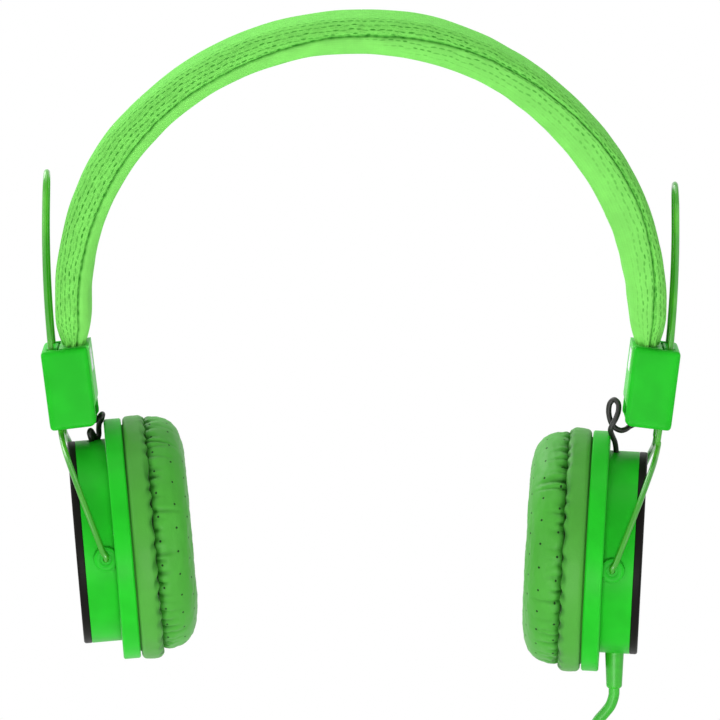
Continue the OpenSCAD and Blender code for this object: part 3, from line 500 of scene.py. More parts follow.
@dataclass(frozen=True)
class AirMesh(Finish):
    """Knitted air mesh: rows of long eyelets between ribs, their insides darkened to a shadow
    colour as painted shade.
    """

    shadow: Colour
    along_mm: float = 2.1
    across_mm: float = 1.35
    fine_along_mm: float = 1.3
    fine_across_mm: float = 0.8
    thread_mm: float = 0.62

    def surface(self, tree: ShaderTree) -> bpy.types.Material:
        """Builds the surface in the material's empty tree."""
        along, across = tree.cloth()
        slit = tree.eyelets(along, across, self.along_mm, self.across_mm)
        fill = tree.speckle(420, 3)
        soft = tree.speckle(60, 2)
        rows = across * (TURN / (self.across_mm * 0.5 * MM)) + fill * 3.0
        threads = ((along * (TURN / (self.thread_mm * MM)) + rows.wave() * 1.4).wave() + 1) * 0.5
        height = threads * 0.12 - slit * 0.7 + fill * 0.2
        pale = self.mottled(tree, fill.step(0.3, 0.72), 0.86)
        fine = tree.eyelets(along, across, self.fine_along_mm, self.fine_across_mm)
        # Painted shade: the fine slits are darkened towards the shadow colour.
        lined = tree.blend(threads * 0.08 + soft * 0.1 + fine * 0.36, pale, self.shadow)
        # Painted shade: the eyelets and the seam folds noted on the piece are darkened to the
        # shadow colour.
        return tree.shade(
            Base_Color=tree.blend((slit * 0.9).larger(tree.noted() * 0.95), lined, self.shadow),
            Roughness=0.92,
            Sheen_Weight=0.12, Sheen_Roughness=0.5, Sheen_Tint=self.colour,
            Specular_IOR_Level=0.15, Normal=tree.relief(height, 0.4, 0.8))


@dataclass(frozen=True)
class Knit(Finish):
    """Smooth fine knit with narrow ribs, and a strip of open mesh along its seams."""

    shadow: Colour
    rib_mm: float = 0.62
    loop_mm: float = 0.8
    along_mm: float = 2.1
    across_mm: float = 1.35

    def surface(self, tree: ShaderTree) -> bpy.types.Material:
        """Builds the surface in the material's empty tree."""
        along, across = tree.cloth()
        cloud = tree.speckle(180, 3)
        ribs = (across * (TURN / (self.rib_mm * MM)) + cloud * 2.0).wave() * 0.5 + 0.5
        loops = (along * (TURN / (self.loop_mm * MM)) + ribs * 2.4).wave() * 0.5 + 0.5
        slit = tree.eyelets(along, across, self.along_mm, self.across_mm) * tree.noted("mesh")
        height = ribs * 0.4 + loops * 0.3 - slit * 1.6
        shade = (ribs * 0.1 + loops * 0.06 + cloud * 0.8).step(0.25, 0.8)
        smooth_part = self.mottled(tree, shade, 0.84)
        # Painted shade: the open strip's eyelets and the seam folds noted on the piece are
        # darkened to the shadow colour.
        return tree.shade(Base_Color=tree.blend((slit * 0.9).larger(tree.noted() * 0.95),
                                                smooth_part, self.shadow),
                          Roughness=0.88, Sheen_Weight=0.1, Sheen_Tint=self.colour,
                          Specular_IOR_Level=0.15, Normal=tree.relief(height, 0.08, 0.5))


@dataclass(frozen=True)
class Leatherette(Finish):
    """Soft coated cloth with fine pores, and needle holes where it is perforated; its creases,
    seam and holes are darkened with painted shade.
    """

    # colour of the painted shade in the creases and along the seam
    crease: Colour
    around: float = 0
    row_mm: float = 5.2
    ring_mm: float = 6.4

    def surface(self, tree: ShaderTree) -> bpy.types.Material:
        """Builds the surface in the material's empty tree."""
        cloud = tree.speckle(70, 2)
        pore = tree.pores(1500)
        fold = tree.speckle(380, 3)
        tone = self.mottled(tree, (cloud * 0.8 + fold * 0.2).step(0.3, 0.7), 0.9)
        # Painted shade: darker towards the crease colour where the piece notes a fold or its
        # seam.
        tone = tree.blend(tree.noted(), tone, self.crease)
        height = pore * 0.3 + fold * 0.4
        rough: Socket | float = 0.46 + fold * 0.1
        if self.around:
            turn, depth = tree.cloth()
            rows = depth * (1 / (self.row_mm * MM))
            steps = turn * self.around + (rows.whole() * 0.5).fraction()
            x = (steps.fraction() - 0.5) * self.ring_mm
            y = (rows.fraction() - 0.5) * self.row_mm
            far = x * x + y * y
            hole = 1 - far.step(0.06, 0.15)
            rim = 1 - far.step(0.15, 0.5)
            # Painted shade: the needle holes are painted nearly black as the shade inside them.
            tone = tree.blend(hole * 0.95, tone, darker(self.crease, 0.12))
            height = height - rim * 0.35 - hole
            rough = rough + hole * 0.3
        return tree.shade(Base_Color=tone, Roughness=rough, Sheen_Weight=0.05,
                          Sheen_Roughness=0.4, Specular_IOR_Level=0.2,
                          Normal=tree.relief(height, 0.1, 0.6))


@dataclass(frozen=True)
class Rubber(Finish):
    """Flexible jacket of a cable or lead."""

    roughness: float

    def surface(self, tree: ShaderTree) -> bpy.types.Material:
        """Builds the surface in the material's empty tree."""
        cloud = tree.speckle(240, 2)
        fine = tree.speckle(3200, 2)
        return tree.shade(Base_Color=self.mottled(tree, cloud.step(0.3, 0.7), 0.8),
                          Roughness=self.roughness + fine * 0.12,
                          Normal=tree.relief(cloud + fine * 0.3, 0.03))


@dataclass(frozen=True)
class Foam(Finish):
    """Open-cell foam or thin open cloth."""

    cells: float = 900

    def surface(self, tree: ShaderTree) -> bpy.types.Material:
        """Builds the surface in the material's empty tree."""
        cell = tree.pores(self.cells)
        # Painted shade: the middle of each cell, where the bump sinks, is darker.
        return tree.shade(Base_Color=self.mottled(tree, cell.step(0.1, 0.6), 0.6),
                          Roughness=0.95, Specular_IOR_Level=0.2,
                          Normal=tree.relief(cell, 0.3))


FINISHES = {
    "mesh_fabric": AirMesh("air_mesh", linear(128, 222, 97), linear(28, 132, 18)),
    "knit_fabric": Knit("fine_knit", linear(128, 220, 98), linear(28, 132, 18)),
    "foam": Foam("pad_foam", linear(214, 214, 200)),
    "spring_steel": Metal("spring_steel", (0.55, 0.56, 0.58), 0.35),
    "black_plastic": Plastic("black_plastic", linear(20, 19, 17), 0.45, 0.015, 0.0, 0.06),
    "black_lead": Rubber("black_lead", linear(22, 21, 19), 0.42),
    "green_plastic": Plastic("green_plastic", linear(33, 184, 36), 0.4, 0.012, 0.1),
    "pale_green_plastic": Plastic("pale_green_plastic", linear(88, 206, 84), 0.4, 0.012, 0.12),
    "white_plastic": Plastic("white_label", linear(235, 238, 240), 0.45),
    "green_wire": Paint("green_wire", linear(52, 150, 28), linear(82, 182, 40)),
    "steel": Metal("steel", (0.62, 0.62, 0.64), 0.28),
    "magnet": Metal("magnet", (0.35, 0.35, 0.37), 0.42),
    "film": Plastic("driver_film", linear(205, 200, 176), 0.25),
    "leatherette": Leatherette("perforated_leatherette", linear(68, 158, 49),
                               linear(24, 92, 14), 30),
    "leatherette_back": Leatherette("plain_leatherette", linear(70, 152, 50),
                                    linear(30, 100, 20)),
    "acoustic_fabric": Foam("acoustic_cloth", linear(30, 30, 30), 2600),
    "cable_jacket": Rubber("cable_jacket", linear(44, 174, 27), 0.38),
    "board": Plastic("solder_board", linear(28, 92, 48), 0.4),
    "contact_gold": Metal("contact_gold", (0.92, 0.7, 0.32), 0.22),
}


class Wardrobe:
    """Keeps one material for each finish, and puts it on pieces and nodes."""

    def __init__(self, frame: dict) -> None:
        """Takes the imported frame, whose record says which finish each node has."""
        self.nodes = frame["nodes"]
        self.slots = {row["node"]: row["material_slot"] for row in frame["record"]["subparts"]}
        self.made: dict[str, bpy.types.Material] = {}

    def material(self, slot: str) -> bpy.types.Material:
        """The material of a slot, made when it is first asked for."""
        if slot not in self.made:
            self.made[slot] = FINISHES[slot].build()
        return self.made[slot]

    def dress(self, piece: bpy.types.Object, slot: str) -> bpy.types.Object:
        """Gives a new piece the finish of a slot."""
        piece.data.materials.clear()
        piece.data.materials.append(self.material(slot))
        return piece

    def dress_nodes(self) -> None:
        """Gives every CAD node the finish that the record names."""
        for name, node in self.nodes.items():
            material = self.material(self.slots[name])
            if not node.material_slots:
                node.data.materials.append(material)
            for slot in node.material_slots:
                slot.material = material


# ---------- modelling ----------


class Bench:
    """Blender's modelling operators, used on one piece at a time."""

    DOUBLES_M = 1e-6

    @staticmethod
    def clear() -> None:
        """Leaves nothing selected."""
        bpy.ops.object.select_all(action="DESELECT")

    @classmethod
    def hold(cls, piece: bpy.types.Object) -> None:
        """Makes a piece the only selected and active one."""
        cls.clear()
        piece.select_set(True)
        bpy.context.view_layer.objects.active = piece

    @staticmethod
    def log(piece: bpy.types.Object) -> None:
        """Logs how many faces a finished piece has."""
        LOG.info("%s: %d faces", piece.name, len(piece.data.polygons))

    @staticmethod
    def named(name: str) -> bpy.types.Object:
        """Names the piece that was just added, and its mesh."""
        piece = bpy.context.object
        piece.name = piece.data.name = name
        return piece

    @staticmethod
    def shape(piece: bpy.types.Object, move: Callable[[Vector, int], Vector]) -> None:
        """Moves every point of a piece to where move(point, index) says."""
        for point in piece.data.vertices:
            point.co = move(point.co.copy(), point.index)
        piece.data.update()

    @staticmethod
    def note(piece: bpy.types.Object, depths: Sequence[float], name: str = "fold") -> None:
        """Notes a value from 0 to 1 on each point of a piece for its material."""
        layer = piece.data.attributes.new(name, "FLOAT", "POINT")
        layer.data.foreach_set("value", [min(max(d, 0.0), 1.0) for d in depths])

    @staticmethod
    def weave(piece: bpy.types.Object, where: Callable[[int], tuple[float, float]]) -> None:
        """Gives each point of a piece its own coordinates, which where(index) says."""
        layer = piece.data.uv_layers.active or piece.data.uv_layers.new()
        layer.name = "cloth"
        for loop in piece.data.loops:
            layer.data[loop.index].uv = where(loop.vertex_index)

    @staticmethod
    def put(piece: bpy.types.Object, place: Matrix) -> bpy.types.Object:
        """Moves a piece's mesh into place, right way out even where place mirrors it."""
        piece.data.transform(place)
        if place.determinant() < 0:
            piece.data.flip_normals()
        piece.data.update()
        return piece

    @classmethod
    def outwards(cls, piece: bpy.types.Object) -> None:
        """Merges doubles and turns every face outwards."""
        cls.hold(piece)
        bpy.ops.object.mode_set(mode="EDIT")
        bpy.ops.mesh.select_all(action="SELECT")
        bpy.ops.mesh.remove_doubles(threshold=cls.DOUBLES_M)
        bpy.ops.mesh.normals_make_consistent(inside=False)
        bpy.ops.object.mode_set(mode="OBJECT")

    @classmethod
    def modify(cls, piece: bpy.types.Object, kind: str, **settings: object) -> None:
        """Adds a modifier and applies it."""
        cls.hold(piece)
        modifier = piece.modifiers.new(kind.lower(), kind)
        for key, value in settings.items():
            setattr(modifier, key, value)
        bpy.ops.object.modifier_apply(modifier=modifier.name)

    @classmethod
    def soften(cls, piece: bpy.types.Object, angle: float) -> bpy.types.Object:
        """Shades a piece smooth except over edges sharper than an angle in degrees."""
        cls.hold(piece)
        bpy.ops.object.shade_smooth_by_angle(angle=math.radians(angle))
        return piece

    @classmethod
    def lathe(cls, name: str, outline: Sequence[tuple[float, float]],
              steps: int) -> bpy.types.Object:
        """Turns an outline about the X axis.

        Args:
            name: The new piece's name.
            outline: Radius and X in millimetres, from point to point.
            steps: How many steps go round.

        Returns:
            The piece, closed where its outline is.
        """
        bpy.ops.mesh.primitive_plane_add(size=MM, location=(0, 0, 0))
        piece = cls.named(name)
        bpy.ops.object.mode_set(mode="EDIT")
        bpy.ops.mesh.merge(type="CENTER")
        place = Vector((outline[0][1], 0, outline[0][0])) * MM
        bpy.ops.transform.translate(value=place)
        for radius, x in outline[1:]:
            step = Vector((x, 0, radius)) * MM - place
            bpy.ops.mesh.extrude_region_move(TRANSFORM_OT_translate={"value": step})
            place += step
        bpy.ops.mesh.select_all(action="SELECT")
        bpy.ops.mesh.spin(steps=steps, angle=TURN, center=(0, 0, 0), axis=(1, 0, 0))
        bpy.ops.object.mode_set(mode="OBJECT")
        cls.outwards(piece)
        return piece

    @classmethod
    def tube(cls, name: str, route: Sequence[Vector], width: float,
             sides: int) -> bpy.types.Object:
        """A round curve along a route.

        Args:
            name: The new piece's name.
            route: The points of its centre line.
            width: Its diameter.
            sides: Half the number of steps round it, less two.

        Returns:
            A curve of one open spline.
        """
        bpy.ops.curve.primitive_nurbs_path_add(location=(0, 0, 0))
        piece = cls.named(name)
        curve = piece.data
        curve.splines.clear()
        spline = curve.splines.new("POLY")
        spline.points.add(len(route) - 1)
        for point, place in zip(spline.points, route):
            point.co = (*place, 1)
        curve.dimensions = "3D"
        curve.bevel_depth = width / 2
        curve.bevel_resolution = sides
        curve.use_fill_caps = True
        curve.twist_mode = "MINIMUM"
        return piece

    @classmethod
    def to_mesh(cls, piece: bpy.types.Object) -> bpy.types.Object:
        """Turns a curve into a mesh with its doubles merged."""
        cls.hold(piece)
        bpy.ops.object.convert(target="MESH")
        piece = bpy.context.object
        cls.outwards(piece)
        return cls.soften(piece, 60)


def corner(middle: tuple[float, float], radius: float, start: float, end: float,
           steps: int) -> list[tuple[float, float]]:
    """An arc of an outline.

    Args:
        middle: The arc's centre, as radius and X.
        radius: The arc's own radius.
        start: Its first angle in degrees, from the radius direction towards X.
        end: Its last angle.
        steps: How many pieces it is cut into.

    Returns:
        The points of the arc.
    """
    angles = [math.radians(mix(start, end, i / steps)) for i in range(steps + 1)]
    return [(middle[0] + radius * math.cos(a), middle[1] + radius * math.sin(a))
            for a in angles]


# ---------- headband ----------


@dataclass(frozen=True)
class Station:
    """One cross-section of the band, in millimetres."""

    middle: Vector
    out: Vector
    width: float
    depth: float
    along: float
    to_end: float


@dataclass
class Headband:
    """The padded band: air mesh over the top, fine knit underneath, seams at both edges."""

    wardrobe: Wardrobe
    span_mm: float = 165.5
    rise_mm: float = 76.4
    drop_mm: float = 14.5
    width_mm: float = 32.0
    thick_mm: float = 9.8
    end_width_mm: float = 15.0
    end_thick_mm: float = 6.0
    end_height_mm: float = 0.38
    corner_mm: float = 4.2
    crown_mm: float = 0.35
    cloth_mm: float = 0.7
    crease_mm: float = 0.85
    stitch_mm: float = 2.6
    gathers: int = 15
    strip_mm: float = 9.4
    strip_fade_mm: float = 6.0
    fold_mm: float = 0.75
    # how far the painted shade in the seam's dip spreads from each seam
    middle_mm: float = -78.9
    stations_count: int = 520
    across_count: int = 76
    arch_steps: int = 1440
    leg_steps: int = 60
    corners_cut_mm: float = 8.2
    narrow_mm: float = 10.0
    flatten_mm: float = 9.5
    pucker_mm: float = 13.0

    # angle round the arch, then how much fuller it is under and over the spring
    PLUMP = (
        (-90, 0, 0), (0, 0, 0), (6, 0.7, 0), (12, 1.6, -0.3), (18, 2.1, -0.5), (24, 2.5, -0.5),
        (30, 2.65, -0.7), (36, 2.75, -0.9), (42, 2.65, -1.1), (48, 2.3, -1.1), (54, 1.9, -0.8),
        (60, 1.3, -0.6), (66, 1.0, -0.1), (78, 0.6, 0.4), (90, 0.3, 0.1), (100, 0, 0),
        (132, 0.1, 0), (138, 0.3, 0.3), (144, 0.3, 0.8), (150, 0.3, 0.8), (156, 0.2, 0.4),
        (168, 0, 0), (174, -0.3, -0.1), (184, -0.1, 0), (270, 0, 0))
    # share of the way along, then the seam's height in half thicknesses
    SEAM = ((0.0, -0.42), (0.14, -0.5), (0.34, -0.36), (0.5, 0.04), (0.64, 0.3),
            (0.84, 0.56), (1.0, 0.2))

    def __post_init__(self) -> None:
        """Lays the stations along the band."""
        self.half = self.thick_mm / 2
        self.arch_z = self.half - self.rise_mm
        self.side_mm = self.drop_mm - self.end_height_mm
        self.round_mm = 2 * (self.width_mm + self.thick_mm) - self.corners_cut_mm
        self.stations = self._stations()

    def _line(self) -> list[tuple[float, float]]:
        """Fine points of the band's centre line, in X and Z."""
        steps, legs = self.arch_steps, self.leg_steps
        arch = [(self.span_mm / 2 * math.cos(math.pi * (1 - i / steps)),
                 self.arch_z + self.rise_mm * math.sin(math.pi * i / steps))
                for i in range(steps + 1)]
        leg = [self.arch_z - self.side_mm * (1 - i / legs) for i in range(legs)]
        left = [(-self.span_mm / 2, z) for z in leg]
        right = [(self.span_mm / 2, z) for z in reversed(leg)]
        return left + arch + right

    def _stations(self) -> list[Station]:
        """Sections at even steps, drawn in at both ends."""
        line = self._line()
        reach = list(accumulate(map(math.dist, line, line[1:]), initial=0.0))
        self.length_mm = reach[-1]
        wants = [self.length_mm * k / (self.stations_count - 1)
                 for k in range(self.stations_count)]
        found = []
        for want, (i, share) in zip(wants, walk(reach, wants)):
            a, b = line[i], line[i + 1]
            ahead = Vector((b[0] - a[0], 0, b[1] - a[1])).normalized()
            to_end = min(want, self.length_mm - want)
            found.append(Station(
                Vector((mix(a[0], b[0], share), 0, mix(a[1], b[1], share))),
                Vector((-ahead.z, 0, ahead.x)),
                mix(self.end_width_mm, self.width_mm,
                    smooth((to_end - 0.6) / self.narrow_mm) ** 0.8),
                mix(self.end_thick_mm, self.thick_mm, math.sin(
                    math.pi / 2 * min(to_end / self.flatten_mm, 1)) ** 0.85),
                want, to_end))
        return found

    def fullness(self, station: Station) -> list[float]:
        """How much fuller the padding is under and over the spring at a section, in mm."""
        angle = math.degrees(math.atan2(station.middle.z - self.middle_mm, station.middle.x))
        return between(self.PLUMP, angle + (360 if angle < -90 else 0))

    def _radius(self, station: Station) -> float:
        """The radius of a section's corners."""
        return min(self.corner_mm, station.depth / 2 - 0.05)

    def section(self, station: Station, turn: float) -> tuple[Vector, Vector]:
        """A point of a section and the way out of it.

        Args:
            station: The section.
            turn: 0 at the front edge, a quarter at the top, a half at the back edge.

        Returns:
            The point and the outward normal, in millimetres.
        """
        radius = self._radius(station)
        flat_w, flat_t = station.width - 2 * radius, station.depth - 2 * radius
        arc = math.pi * radius / 2
        quarter = flat_w / 2 + flat_t / 2 + arc
        lap = turn % 1.0
        part, rest = divmod(lap * 4, 1.0)
        reach = (rest if part in (0, 2) else 1 - rest) * quarter
        if reach < flat_t / 2:
            across, up, a = station.width / 2, reach, 0.0
        elif reach < flat_t / 2 + arc:
            a = (reach - flat_t / 2) / radius
            across = flat_w / 2 + radius * math.cos(a)
            up = flat_t / 2 + radius * math.sin(a)
        else:
            across, up, a = flat_w / 2 + flat_t / 2 + arc - reach, station.depth / 2, math.pi / 2
        front = -1 if lap < 0.25 or lap >= 0.75 else 1
        top = 1 if lap < 0.5 else -1
        crown = (self.crown_mm * math.cos(math.pi * across / station.width)
                 * smooth(station.to_end / 20))
        under, over = self.fullness(station)
        up *= 1 + (over if top > 0 else under) / (station.depth / 2)
        place = (station.middle + Vector((0, front * across, 0))
                 + station.out * top * (up + crown * math.sin(a)))
        way = Vector((0, front * math.cos(a), 0)) + station.out * top * math.sin(a)
        return place, way.normalized()

    def seam_turn(self, station: Station) -> float:
        """Where the front seam crosses a section."""
        share = between(self.SEAM, station.along / self.length_mm)[0]
        radius = self._radius(station)
        flat = station.depth / 2 - radius
        up = share * station.depth / 2
        far = flat + radius * math.asin(max(abs(up) - flat, 0) / radius)
        reach = math.copysign(far if abs(up) > flat else abs(up), up)
        quarter = (station.width - 2 * radius) / 2 + flat + math.pi * radius / 2
        return reach / quarter / 4

    def skin(self, name: str, top: bool) -> bpy.types.Object:
        """The cloth over the top or underneath, with its turned-in seams and gathers."""
        n, m = self.stations_count, self.across_count
        bpy.ops.mesh.primitive_grid_add(x_subdivisions=n - 1, y_subdivisions=m - 1, size=1)
        piece = Bench.named(name)
        uv = [(0.0, 0.0)] * (n * m)
        deep, opened = [0.0] * (n * m), [0.0] * (n * m)

        def move(_: Vector, index: int) -> Vector:
            j, i = divmod(index, n)
            station = self.stations[i]
            seam = self.seam_turn(station)
            seam += 0.003 * noise.noise(Vector((station.along * 0.25, 4.0, 0)))
            start, end = (seam, 0.5 - seam) if top else (0.5 - seam, 1 + seam)
            share = j / (m - 1)
            eased = share - math.sin(TURN * share) / TURN * 0.55
            turn = mix(start, end, eased)
            place, way = self.section(station, turn)
            length = abs(end - start) * self.round_mm
            edge = min(share, 1 - share) * length * 0.9
            stitch = 0.5 + 0.5 * math.sin(station.along * TURN / self.stitch_mm)
            dip = self.crease_mm * math.exp(-((edge / 0.9) ** 1.3))
            strip = self.strip_mm * smooth((station.along / self.length_mm - 0.44) / 0.14)
            opened[index] = 0.9 * smooth((strip - edge) / self.strip_fade_mm)
            # Painted shade: the colour darkens in the seam's dip, in dashes one stitch apart,
            # more in some stretches than in others.
            seam_shade_wobble = 0.85 + 0.7 * noise.noise(Vector((station.along * 0.5, 9.0, 0)))
            deep[index] = seam_shade_wobble * (0.5 + 0.45 * stitch) * bell(edge, self.fold_mm)
            pull = (1 - smooth(station.to_end / self.pucker_mm)) ** 1.4
            wobble = noise.noise(Vector((turn * 9, station.along * 0.03, 3.0 * top)))
            pleat = math.cos(TURN * self.gathers * turn + 2.2 * wobble
                             + 0.18 * station.to_end)
            ruck = pull * (0.42 * pleat - 0.25)
            drift = 0.14 * noise.noise(Vector((turn * 14, station.along * 0.11, 7.0)))
            tuck = 0.14 * math.exp(-((edge - 1.3) / 1.2) ** 2) * math.sin(
                station.along * 1.35 + 2 * wobble)
            uv[index] = (station.along * MM, turn * self.round_mm * MM)
            return (place + way * (ruck + drift + tuck - dip)) * MM

        Bench.shape(piece, move)
        Bench.note(piece, deep)
        Bench.note(piece, opened, "mesh")
        Bench.weave(piece, uv.__getitem__)
        self._face_out(piece)
        Bench.modify(piece, "SOLIDIFY", thickness=self.cloth_mm * MM, offset=-1.0)
        return Bench.soften(piece, 70)

    def _face_out(self, piece: bpy.types.Object) -> None:
        """Turns the cloth's faces away from the band's middle."""
        face = piece.data.polygons[len(piece.data.polygons) // 2]
        near = min(self.stations, key=lambda s: (s.middle * MM - face.center).length)
        if face.normal.dot(face.center - near.middle * MM) < 0:
            piece.data.flip_normals()

    def build(self) -> None:
        """Makes the cover and the lining, and hides what they stand for."""
        for name, node, slot, top in (
                ("band_cover", "headband_cover", "mesh_fabric", True),
                ("band_lining", "headband_lining", "knit_fabric", False)):
            piece = self.wardrobe.dress(self.skin(name, top), slot)
            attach(piece, "headband")
            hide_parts(node)
            Bench.log(piece)


# ---------- slider block and wire arm ----------


@dataclass
class BlockPlace:
    """Where a slider block stands, and what moves in it. Sizes are the part's own."""

    block_mm: tuple[float, float, float] = (84.1, 0.0, -97.2158)
    lean: float = 7.0
    width_mm: float = 13.3
    height_mm: float = 22.6
    slide_mm: tuple[float, float, float] = (-269.246, 0.0, -53.8303)
    slide_r_mm: float = 360.0
    pivot_mm: tuple[float, float, float] = (74.4931, 0.0, -143.519)
    toe: float = 3.2
    drawn_mm: dict[Side, float] = field(
        default_factory=lambda: {Side.LEFT: 3.6, Side.RIGHT: 0.0})

    def matrix(self, side: Side) -> Matrix:
        """Places a shape drawn in the block's own frame."""
        return (side.mirror @ Matrix.Translation(Vector(self.block_mm) * MM)
                @ Matrix.Rotation(math.radians(self.lean), 4, "Y"))

    def turn(self, side: Side) -> float:
        """Angle that an arm is drawn out."""
        return self.drawn_mm[side] / self.slide_r_mm

    def drawn(self, side: Side) -> Matrix:
        """Moves a shape with the drawn arm, still on the left side."""
        middle = Matrix.Translation(Vector(self.slide_mm) * MM)
        return middle @ Matrix.Rotation(self.turn(side), 4, "Y") @ middle.inverted()


@dataclass
class BlockSkin:
    """The slider block with the soft edges of a moulding."""

    wardrobe: Wardrobe
    place: BlockPlace
    voxel_mm: float = 0.3
    longer_mm: float = 0.8
    wider_mm: float = 0.2
    rounds: int = 14

    def build(self, side: Side) -> None:
        """Makes one side's block from the part's own."""
        node = f"{side.label}_slider_block"
        bpy.ops.mesh.primitive_plane_add(size=MM, location=(0, 0, 0))
        piece = Bench.named(f"{side.label}_block_skin")
        piece.data = bpy.data.objects[node].data.copy()
        piece.data.materials.clear()
        there = self.place.matrix(side)
        back = there.inverted()
        low, half = -self.place.height_mm / 2, self.place.width_mm / 2

        def move(spot: Vector, _: int) -> Vector:
            own = back @ spot / MM
            own.z -= self.longer_mm * smooth((low + 2.6 - own.z) / 2)
            own.x += self.wider_mm * (smooth(own.x - half + 1.2) - smooth(1.2 - half - own.x))
            return there @ (own * MM)

        Bench.shape(piece, move)
        Bench.modify(piece, "REMESH", mode="VOXEL", voxel_size=self.voxel_mm * MM)
        Bench.modify(piece, "SMOOTH", factor=0.5, iterations=self.rounds)
        Bench.soften(piece, 80)
        self.wardrobe.dress(piece, "green_plastic")
        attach(piece, f"{side.label}_block")
        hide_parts(node)
        Bench.log(piece)


@dataclass
class WireArm:
    """One bent steel wire: a narrow loop over the block and two legs round the cup."""

    wardrobe: Wardrobe
    place: BlockPlace
    wire_mm: float = 1.7
    loop_mm: float = 6.3
    loop_up_mm: float = 61.75
    bow_mm: float = 31.8
    bow_lean_mm: float = 12.3
    pin_mm: float = 27.1

    def _slide(self, angle: float, y: float) -> Vector:
        """A point on the arc that the wires slide along."""
        x, _, z = self.place.slide_mm
        r = self.place.slide_r_mm
        return Vector((x + r * math.cos(angle), y, z - r * math.sin(angle)))

    def _angle(self, up: float) -> float:
        """The arc's angle at a height over the block's centre."""
        return math.radians(self.place.lean) - math.asin(up / self.place.slide_r_mm)

    def _lean(self, up: float) -> float:
        """How far the bow stands out at a height over the pivot."""
        slope, top, soft = self.bow_lean_mm * up / self.bow_mm, self.bow_lean_mm - 0.1, 1.6
        share = min(max(0.5 + 0.5 * (slope - top) / soft, 0.0), 1.0)
        return mix(slope, top, share) - soft * share * (1 - share)

    def _leg(self, front: int) -> list[Vector]:
        """One leg from the loop to its boss; front is -1 for the front leg."""
        pivot = Vector(self.place.pivot_mm)
        rate = self.bow_mm * math.sin(math.radians(self.place.toe)) / (self.bow_mm - self.loop_mm)

        def toed(y: float) -> float:
            return front * (y - self.loop_mm) * rate

        top, foot = (self._angle(self.loop_up_mm - self.loop_mm),
                     self._angle(-self.place.height_mm / 2 - 0.4))
        points = [self._slide(mix(top, foot, i / 7), front * self.loop_mm) for i in range(8)]
        neck = [(0.15, 1.5), (0.75, 0.3), (2.2, -0.75)]
        points += [pivot + Vector((self._lean(self.bow_mm + up) + toed(self.loop_mm + out),
                                   front * (self.loop_mm + out), self.bow_mm + up))
                   for out, up in neck]
        for i in range(12):
            a = math.radians(mix(19, 86, i / 11))
            y, up = self.bow_mm * math.sin(a), self.bow_mm * math.cos(a)
            points.append(pivot + Vector((self._lean(up) + toed(y), front * y, up)))
        for inward, up in ((-0.15, 1.0), (-0.6, 0.3), (-1.25, 0.02)):
            points.append(pivot + Vector((toed(self.bow_mm), front * (self.bow_mm + inward), up)))
        toe = math.radians(self.place.toe)
        tip = Vector((math.sin(toe) * front * self.pin_mm,
                      front * self.pin_mm * math.cos(toe), 0))
        return points + [pivot + tip]

    def route(self) -> list[Vector]:
        """The wire's centre line from pin to pin, in metres, on the left side."""
        angle = self._angle(self.loop_up_mm - self.loop_mm)
        middle = self._slide(angle, 0)
        ahead = Vector((math.sin(angle), 0, math.cos(angle)))
        loop = []
        for i in range(1, 10):
            a = math.pi * i / 10
            loop.append(middle + Vector((0, -self.loop_mm * math.cos(a), 0))
                        + ahead * self.loop_mm * math.sin(a))
        return metres(self._leg(-1)[::-1] + loop + self._leg(1))

    def build(self, side: Side) -> None:
        """Makes one side's wire."""
        route = rounded_route(self.route(), 6)
        wire = Bench.to_mesh(Bench.tube(f"{side.label}_wire", route, self.wire_mm * MM, 6))
        Bench.put(wire, side.mirror @ self.place.drawn(side))
        self.wardrobe.dress(wire, "green_wire")
        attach(wire, f"{side.label}_arm")
        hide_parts(f"{side.label}_wire_arm")
        Bench.log(wire)


# ---------- ear cup ----------


@dataclass
class CupPlace:
    """Where an ear cup hangs. In its own frame x runs outward from the baffle's face."""

    block: BlockPlace
    pivot_up_mm: float = 2.7
    tilt: dict[Side, float] = field(
        default_factory=lambda: {Side.LEFT: 2.6, Side.RIGHT: 4.5})

    def matrix(self, side: Side) -> Matrix:
        """Places a shape drawn in the cup's own frame."""
        tilt = math.radians(self.tilt[side]) - self.block.turn(side)
        return (side.mirror @ self.block.drawn(side)
                @ Matrix.Translation(Vector(self.block.pivot_mm) * MM)
                @ Matrix.Rotation(-math.radians(self.block.toe), 4, "Z")
                @ Matrix.Rotation(tilt, 4, "Y")
                @ Matrix.Translation((-self.pivot_up_mm * MM, 0, 0)))


@dataclass(frozen=True)
class Crease:
    """One crease that runs from the cushion's seam up its side."""

    angle: float
    width: float
    depth_mm: float
    reach_mm: float
    lean: float


